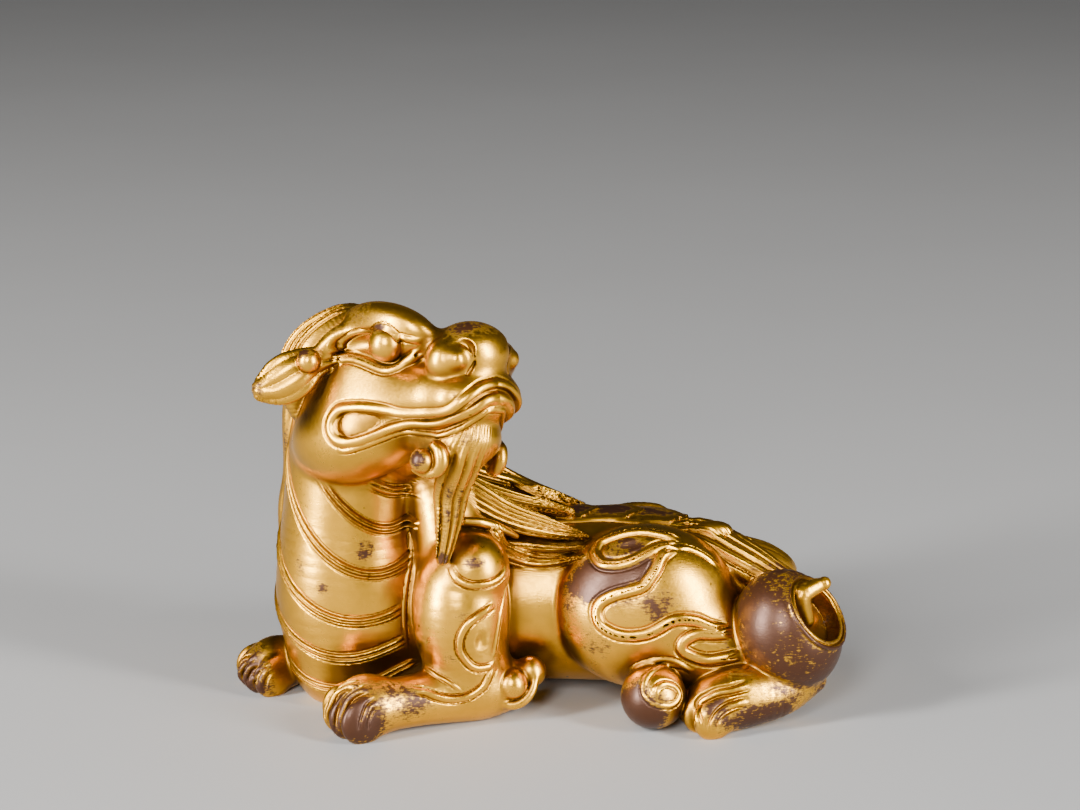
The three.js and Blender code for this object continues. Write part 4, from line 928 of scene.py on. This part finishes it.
points, faces = nets(lattice(beast, LOW, HIGH, CELL), LOW, CELL)
print(len(points), "vertices and", len(faces), "faces from the lattice")


def settled(points, rounds):
    """Vertices pushed onto the skin, no further than half a cell each time."""
    p = points.T.astype(np.float32)
    for _ in range(rounds):
        p = p - slope(beast, p) * np.clip(beast(p), -CELL / 2, CELL / 2)
    return p.T


points = settled(points, 2)


# %% Fewer faces where the skin is smooth
ALL_TRIANGLES = 600_000


def mesh_of(name, points, faces):
    mesh = bpy.data.meshes.new(name)
    mesh.vertices.add(len(points))
    mesh.vertices.foreach_set("co", np.asarray(points, np.float32).ravel())
    corners = faces.shape[1]
    mesh.loops.add(faces.size)
    mesh.loops.foreach_set("vertex_index", faces.astype(np.int32).ravel())
    mesh.polygons.add(len(faces))
    mesh.polygons.foreach_set("loop_start", np.arange(0, faces.size, corners, dtype=np.int32))
    mesh.update(calc_edges=True)
    return mesh


def thinned(points, faces, goal):
    """The same skin with fewer triangles, most of them where it bends."""
    rough = bpy.data.objects.new("rough", mesh_of("rough", points, faces))
    bpy.context.collection.objects.link(rough)
    fewer = rough.modifiers.new("fewer", "DECIMATE")
    fewer.ratio = min(1, goal / (2 * len(faces)))
    done = bpy.data.meshes.new_from_object(rough.evaluated_get(bpy.context.evaluated_depsgraph_get()))
    bpy.data.objects.remove(rough)
    kept = np.empty(3 * len(done.vertices), np.float32)
    done.vertices.foreach_get("co", kept)
    done.calc_loop_triangles()
    corners = np.empty(3 * len(done.loop_triangles), np.int32)
    done.loop_triangles.foreach_get("vertices", corners)
    return kept.reshape(-1, 3), corners.reshape(-1, 3)


points, faces = thinned(points, faces, ALL_TRIANGLES)
points = settled(points, 1)
print(len(faces), "triangles are left")


# %% [markdown]
# ## What the finish needs to know
#
# Wear follows shape. Gold stays in hollows and is rubbed off where fingers reach, so each vertex gets
# numbers that the material reads later: how deep it lies in a narrow hollow, how much of a wide one
# closes in round it, and how much of the gold is gone there. The last comes from a few soft regions,
# placed where the photograph shows brown bronze. The cut ridges inside such a region keep their gold.
# The two hollow numbers also darken the gold: the wide one as painted shade, the narrow one partly as
# dirt in the grooves and partly as painted shade.

# %% Hollows and hairs
def hollow(p, out, reach):
    """1 where metal closes in around a point, 0 on open skin."""
    return np.clip(1 - beast(p + out * np.float32(reach)) / reach, 0, 1)


skin = points.T.astype(np.float32)
outward = slope(beast, skin, 0.05).astype(np.float32)
wide = hollow(skin, outward, 4.0)
# deep keeps the gold and adds roughness in narrow hollows. It also darkens the gold there, partly as dirt
# and partly as painted shade.
deep = 0.5 * hollow(skin, outward, 0.6) + 0.3 * hollow(skin, outward, 1.6) + 0.2 * wide
# shade is painted shade: it darkens and warms the gold wherever a wide hollow closes in, as under the jaw
# and at the sides of the dome.
shade = 0.4 * wide + 0.6 * hollow(skin, outward, 9.0)


def hair_places(p):
    """Which hair of a lock a point lies on, counted across the lock, and 1 where it is on a lock."""
    best = np.full(p.shape[1], REACH, np.float32)
    count = np.zeros_like(best)
    for measure, hairs in HAIR:
        gap, side = measure(p)
        closer = gap < best
        count = np.where(closer, hairs * (side + 1) / 2, count)
        best = np.where(closer, gap, best)
    return count, np.clip(1.2 - np.abs(best) / 0.5, 0, 1)


hair, hairy = hair_places(skin)
print("hollows reach", deep.max().round(2), "and shade reaches", shade.max().round(2))

# %% Where the gold is worn through
CUP_MIDDLE = COIL + 6 * COIL_OUT
CUP_REACH = 5.2         # the cup of the coil keeps its gold, this far from its middle

# Each region is a middle, three radii and how bare it is
WORN = [
    (COIL, [9.5, 9.5, 9.5], 1.0),
    ([6.6, -8.4, 18.6], [6.4, 4.4, 3.6], 1.0),
    ([12.2, -8.4, 20], [3.4, 3, 2.2], 0.95),
    ([10.8, -6.2, 22.3], [3, 2.4, 1.6], 0.75),
    ([14.8, -10.4, 16.2], [3, 2.6, 3], 0.52),
    ([3.6, -7, 15], [2.6, 3.4, 7], 0.52),
    ([5.8, -9, 10.5], [4.4, 4, 2.6], 0.48),
    ([12, -14.4, 2.4], [4, 5, 4.8], 1.0),
    ([28, -13.5, 2.2], [7, 4, 2.8], 0.85),
    ([22.2, -15.4, 4.2], [2, 2.4, 2.6], 0.8),
    ([-23.4, -15.6, 3.2], [5, 5, 4.4], 0.95),
    ([-17.4, -14, 4.8], [5.4, 3, 2.8], 0.58),
    ([-37, 2, 2.6], [3.6, 5, 4.2], 0.9),
    ([5, TRUNK_MID, 23.8], [17, 2.4, 2], 0.85),
    ([-33, 2, 32], [2, 3.4, 14], 0.5),
    ([-21.8, -6, 21.8], [1.6, 2, 1.9], 0.62),
    ([-27.3, -6.3, 16.8], [1.2, 1.2, 0.9], 0.6),
    ([-30.2, -4.3, 19.2], [1, 1.6, 1.8], 0.5),
    ([-8.2, -11, 21.8], [1.6, 1.4, 0.9], 0.6),
    ([-9.4, -12.4, 15], [1.2, 1.2, 1], 0.52),
    ([-11.6, -12.4, 9], [1.4, 1.4, 1.6], 0.5),
    ([-10.4, -14.6, 31], [2.6, 2, 5], 0.6),
    ([-12, -13, 22.6], [1.4, 1.4, 1.2], 0.95),
    (from_head([13.4, 1.4, 8.4]), [4.4, 4, 2.6], 0.64),
    (from_head([11.6, 5.6, 5.8]), [1.8, 1.6, 1.6], 0.62),
    (from_head([16.6, 4.6, -0.4]), [1.6, 1.6, 0.8], 0.5),
    (from_head([3.2, 5.2, 11.2]), [6, 4.4, 2.6], 0.62),
    (from_head([-1.6, 8.6, 9.2]), [3, 3, 1.6], 0.44),
    (from_head([6, 7.8, 8.7]), [1.3, 1.3, 0.9], 0.95),
    (from_head([-3.3, 12.4, 5.9]), [1.3, 1.3, 1.3], 0.85),
    (from_head([-8.3, 15.4, 2.3]), [1.6, 1.6, 1.6], 0.65),
    (from_head([10.6, 6.8, -7.6]), [1.3, 1.3, 1.3], 0.8),
    (from_head([14.4, 2, -4.8]), [2.4, 3, 2], 0.58),
]


def bareness(p):
    """How bare each point is: most in the middle of a region, and less and less towards its edge."""
    bare = np.zeros(p.shape[1], np.float32)
    for middle, radii, amount in WORN:
        off = (p - np.asarray(middle, np.float32)[:, None]) / np.asarray(radii, np.float32)[:, None]
        near = np.clip(1.6 - 1.1 * np.sqrt(np.einsum("in,in->n", off, off)), 0, 1)
        bare = np.maximum(bare, amount * near)
    off = (p - CUP_MIDDLE.astype(np.float32)[:, None]) / CUP_REACH
    return bare * np.clip(2 * np.sqrt(np.einsum("in,in->n", off, off)) - 1, 0, 1)


band, along = spine_plates(skin)
gilt_ridge = np.maximum(np.clip((carved(skin) - 0.08) / 0.2, 0, 1), band * (along > 0.8))
bare = bareness(skin) * (1 - 0.85 * gilt_ridge)


# %% [markdown]
# ## The casting as an object
#
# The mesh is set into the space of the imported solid, which it replaces: its box is brought to the same
# middle, and shrunk by the few hundredths of a millimetre that the finer carving stands out. Normals
# come from the distances and not from the triangles, so that reflections on the metal stay smooth. The
# casting is one piece of metal, but so fine a mesh is easier to handle in four stretches, which share
# their vertices and normals where they meet.

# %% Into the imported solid's place
solid_low, solid_high = (1000 * np.array(corner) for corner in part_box("beast_casting"))
low, high = points.min(0), points.max(0)
shrink = min(1, ((solid_high - solid_low) / (high - low)).min())
middle = (low + high) / 2
target = (solid_low + solid_high) / 2
middle[2], target[2] = 0, 0
placed = ((points - middle) * shrink + target) / 1000
print("shrunk by", round(100 * (1 - shrink), 3), "percent, moved by", (target - middle).round(2), "mm")

LAYERS = {"deep": deep, "shade": shade, "bare": bare, "hair": hair, "hairy": hairy}


def piece_of(name, chosen):
    """One stretch of the casting, with the smooth normals and the layers of its own vertices."""
    used, corners = np.unique(faces[chosen], return_inverse=True)
    piece = bpy.data.objects.new(name, mesh_of(name, placed[used], corners.reshape(-1, 3)))
    bpy.context.collection.objects.link(piece)
    piece.data.polygons.foreach_set("use_smooth", np.ones(chosen.sum(), bool))
    piece.data.normals_split_custom_set_from_vertices(outward.T[used].astype(float))
    for layer_name, values in LAYERS.items():
        layer = piece.data.attributes.new(layer_name, "FLOAT", "POINT")
        layer.data.foreach_set("value", values[used].astype(np.float32))
    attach(piece, "root")
    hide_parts("beast_casting")
    print(name, "has", chosen.sum(), "triangles")
    return piece


CHEST_END, RUMP_START = -9, 11

centres = points[faces].mean(1)
in_head = head(centres.T.astype(np.float32)) < 0.4
in_front = ~in_head & (centres[:, 0] < CHEST_END)
in_rear = ~in_head & (centres[:, 0] > RUMP_START)
in_middle = ~(in_head | in_front | in_rear)
pieces = [piece_of(name, chosen) for name, chosen in (
    ("gilt_head", in_head), ("gilt_chest", in_front), ("gilt_flanks", in_middle), ("gilt_rump", in_rear))]


# %% [markdown]
# ## Shader sums as Python
#
# A material is a tree of nodes. Writing it link by link is hard to read, so a small class wraps one
# socket, and the usual signs on it add Math nodes. Every other node comes from one method that takes
# the node's type, its settings and what goes into its sockets.

# %% A socket that can be added and multiplied
class Signal:
    def __init__(self, finish, socket):
        self.finish, self.socket = finish, socket

    def maths(self, operation, *values):
        return self.finish.node("ShaderNodeMath", {"operation": operation}, dict(enumerate(values)))

    def __add__(self, other): return self.maths("ADD", self, other)
    def __radd__(self, other): return self.maths("ADD", other, self)
    def __sub__(self, other): return self.maths("SUBTRACT", self, other)
    def __rsub__(self, other): return self.maths("SUBTRACT", other, self)
    def __mul__(self, other): return self.maths("MULTIPLY", self, other)

    def between(self, low, high):
        """0 below low, 1 above high, and smooth from one to the other."""
        return self.finish.node("ShaderNodeMapRange", {"interpolation_type": "SMOOTHSTEP"},
                                {"Value": self, "From Min": low, "From Max": high})


class Finish:
    def __init__(self, name):
        self.material = bpy.data.materials.new(name)
        self.material.use_nodes = True
        self.tree = self.material.node_tree
        self.tree.nodes.clear()

    def node(self, kind, settings=None, sockets=None, output=0):
        made = self.tree.nodes.new(kind)
        for name, value in (settings or {}).items():
            setattr(made, name, value)
        for name, value in (sockets or {}).items():
            if isinstance(value, Signal):
                self.tree.links.new(value.socket, made.inputs[name])
            else:
                made.inputs[name].default_value = value
        return Signal(self, made.outputs[output])

    def show(self, shader):
        end = self.tree.nodes.new("ShaderNodeOutputMaterial")
        self.tree.links.new(shader.socket, end.inputs["Surface"])

    def mix(self, share, first, second):
        """A colour between two, by a share from 0 to 1."""
        return self.node("ShaderNodeMix", {"data_type": "RGBA"}, {0: share, 6: first, 7: second}, 2)

    def measure(self, name):
        return self.node("ShaderNodeAttribute", {"attribute_name": name}, output=2)

    def noise(self, scale, detail=4, roughness=0.6, vector=None):
        place = vector or self.node("ShaderNodeTexCoord", output=3)
        return self.node("ShaderNodeTexNoise", None,
                         {"Vector": place, "Scale": scale, "Detail": detail, "Roughness": roughness})


# %% [markdown]
# ## Worn gilding
#
# Mercury gilding is a thin skin of nearly pure gold: pale and bright where it is burnished, warm and
# orange in the hollows, where thin gold and old wax lie over bronze. On top of that the gold is painted
# darker in hollows as painted shade, most where a wide hollow closes in, and the deepest grooves get a
# dark colour that is partly dirt and partly painted shade. Where it is rubbed through, dark brown bronze
# shows, with the soft gloss of handling. The border between them is broken up by fine scratches. Here
# one mask says how much bronze shows, and colour, roughness and metal follow from it.

# %% The finish
BRIGHT_GOLD = (0.95, 0.475, 0.022, 1)
# The warm gold below is a darker copy of the bright gold: painted shade for the hollows, with some of the
# orange of thin gold.
SHADED_WARM_GOLD = (0.22, 0.094, 0.008, 1)
# The dark colour below is partly dirt, in random specks and in grooves, and partly painted shade in the
# deepest hollows.
DIRT_AND_SHADE = (0.04, 0.018, 0.005, 1)
BROWN_BRONZE = (0.055, 0.019, 0.007, 1)


def worn_gilding():
    gilt = Finish("gilt_bronze")
    deep, shade, bare, hair, hairy = (gilt.measure(name) for name in LAYERS)
    place = gilt.node("ShaderNodeTexCoord", output=3)
    cloudy = gilt.noise(260)
    grain = gilt.noise(1900, 3)
    brushed_place = gilt.node("ShaderNodeMapping", None, {"Vector": place, "Scale": (0.35, 1, 2.4),
                                                          "Rotation": (0.3, 0.5, 0.2)})
    brushed = gilt.noise(2600, 2, 0.5, brushed_place)
    rubbed = bare + (cloudy - 0.5) * 0.9 + (grain - 0.5) * 0.7 + (brushed - 0.5) * 0.6 - deep * 0.9
    bronze = rubbed.between(0.36, 0.68)
    speck = (gilt.noise(900, 2, 0.5) + (cloudy - 0.5) * 0.3).between(0.74, 0.8)
    # Painted shade: the gold turns darker and warmer where narrow and wide hollows close in.
    shade_and_warmth = (deep * 1.2 + shade * 1.1 + (cloudy - 0.5) * 0.5).between(0.15, 1.2)
    gold = gilt.mix(shade_and_warmth, BRIGHT_GOLD, SHADED_WARM_GOLD)
    # Dirt and painted shade: the deepest grooves are darkened.
    gold = gilt.mix((deep + (grain - 0.5) * 0.4).between(0.62, 1.0) * 0.8, gold, DIRT_AND_SHADE)
    # Dark specks of dirt, spread at random.
    gold = gilt.mix(speck * 0.8, gold, DIRT_AND_SHADE)
    colour = gilt.mix(bronze, gold, BROWN_BRONZE)
    rough = 0.3 + (cloudy - 0.5) * 0.16 + deep * 0.2 + (grain - 0.5) * 0.14 + bronze * 0.06
    line = hair.maths("SINE", hair * (2 * pi))
    height = brushed * 0.4 + grain * 0.4 + line * hairy * 0.8
    bump = gilt.node("ShaderNodeBump", None, {"Strength": 0.35, "Distance": 0.0001, "Height": height})
    shader = gilt.node("ShaderNodeBsdfPrincipled", None, {
        "Base Color": colour, "Roughness": rough, "Metallic": 1 - bronze * 0.45, "Normal": bump})
    gilt.show(shader)
    return gilt.material


gilding = worn_gilding()
for piece in pieces:
    piece.data.materials.append(gilding)


# %% [markdown]
# ## Floor, light and camera
#
# The photograph is taken from a little above, with a long lens. The beast stands here on a plain pale
# floor. A soft strip of light on each side and a small box in front give the metal something to
# mirror: metal shows little of its own colour unless something bright is reflected in it.

# %% Floor
FLOOR_CORNERS = np.array([[-3, -2, 0], [3, -2, 0], [3, 3, 0], [-3, 3, 0]])      # metres
PALE_LOW = (0.28, 0.275, 0.27, 1)
PALE_HIGH = (0.31, 0.305, 0.3, 1)

floor = bpy.data.objects.new("floor", mesh_of("floor", FLOOR_CORNERS, np.array([[0, 1, 2, 3]])))
bpy.context.collection.objects.link(floor)

pale = Finish("pale_floor")
tone = pale.mix(pale.noise(9), PALE_LOW, PALE_HIGH)
pale_shader = pale.node("ShaderNodeBsdfPrincipled", None, {"Base Color": tone, "Roughness": 0.7})
pale.show(pale_shader)
floor.data.materials.append(pale.material)


# %% Lights
LIT_PLACE = (0, 0, 0.03)        # every light points here, metres
ROOM_COLOUR = (0.85, 0.86, 0.88, 1)
ROOM_STRENGTH = 0.04


def soft_light(name, place, size, power):
    lamp = bpy.data.lights.new(name, "AREA")
    lamp.shape = "RECTANGLE"
    lamp.size, lamp.size_y = size
    lamp.energy = power
    light = bpy.data.objects.new(name, lamp)
    light.location = place
    bpy.context.collection.objects.link(light)
    toward = Vector(LIT_PLACE) - light.location
    light.rotation_euler = toward.to_track_quat("-Z", "Y").to_euler()


soft_light("left strip", (-0.5, -0.3, 0.2), (0.1, 0.5), 14)
soft_light("right strip", (0.5, -0.34, 0.2), (0.1, 0.5), 11)
soft_light("front box", (-0.12, -0.6, 0.34), (0.14, 0.3), 6)

world = bpy.data.worlds.new("room")
world.use_nodes = True
background = world.node_tree.nodes["Background"]
background.inputs["Color"].default_value = ROOM_COLOUR
background.inputs["Strength"].default_value = ROOM_STRENGTH
bpy.context.scene.world = world

# %% Camera
CAMERA_ELEVATION = 15
CAMERA_DISTANCE = 430
CAMERA_AIM = np.array([0, 0, 38.8])         # in the figure's own millimetres
PICTURE_WIDTH = 135                         # what the picture spans there, millimetres
SENSOR = 36

camera_data = bpy.data.cameras.new("camera")
camera_data.sensor_width = SENSOR
camera_data.lens = SENSOR * CAMERA_DISTANCE / PICTURE_WIDTH
camera = bpy.data.objects.new("camera", camera_data)
bpy.context.collection.objects.link(camera)
aim = CAMERA_AIM - middle + target
tilt = radians(CAMERA_ELEVATION)
camera.location = (aim + CAMERA_DISTANCE * np.array([0, -cos(tilt), sin(tilt)])) / 1000
camera.rotation_euler = (pi / 2 - tilt, 0, 0)
bpy.context.scene.camera = camera
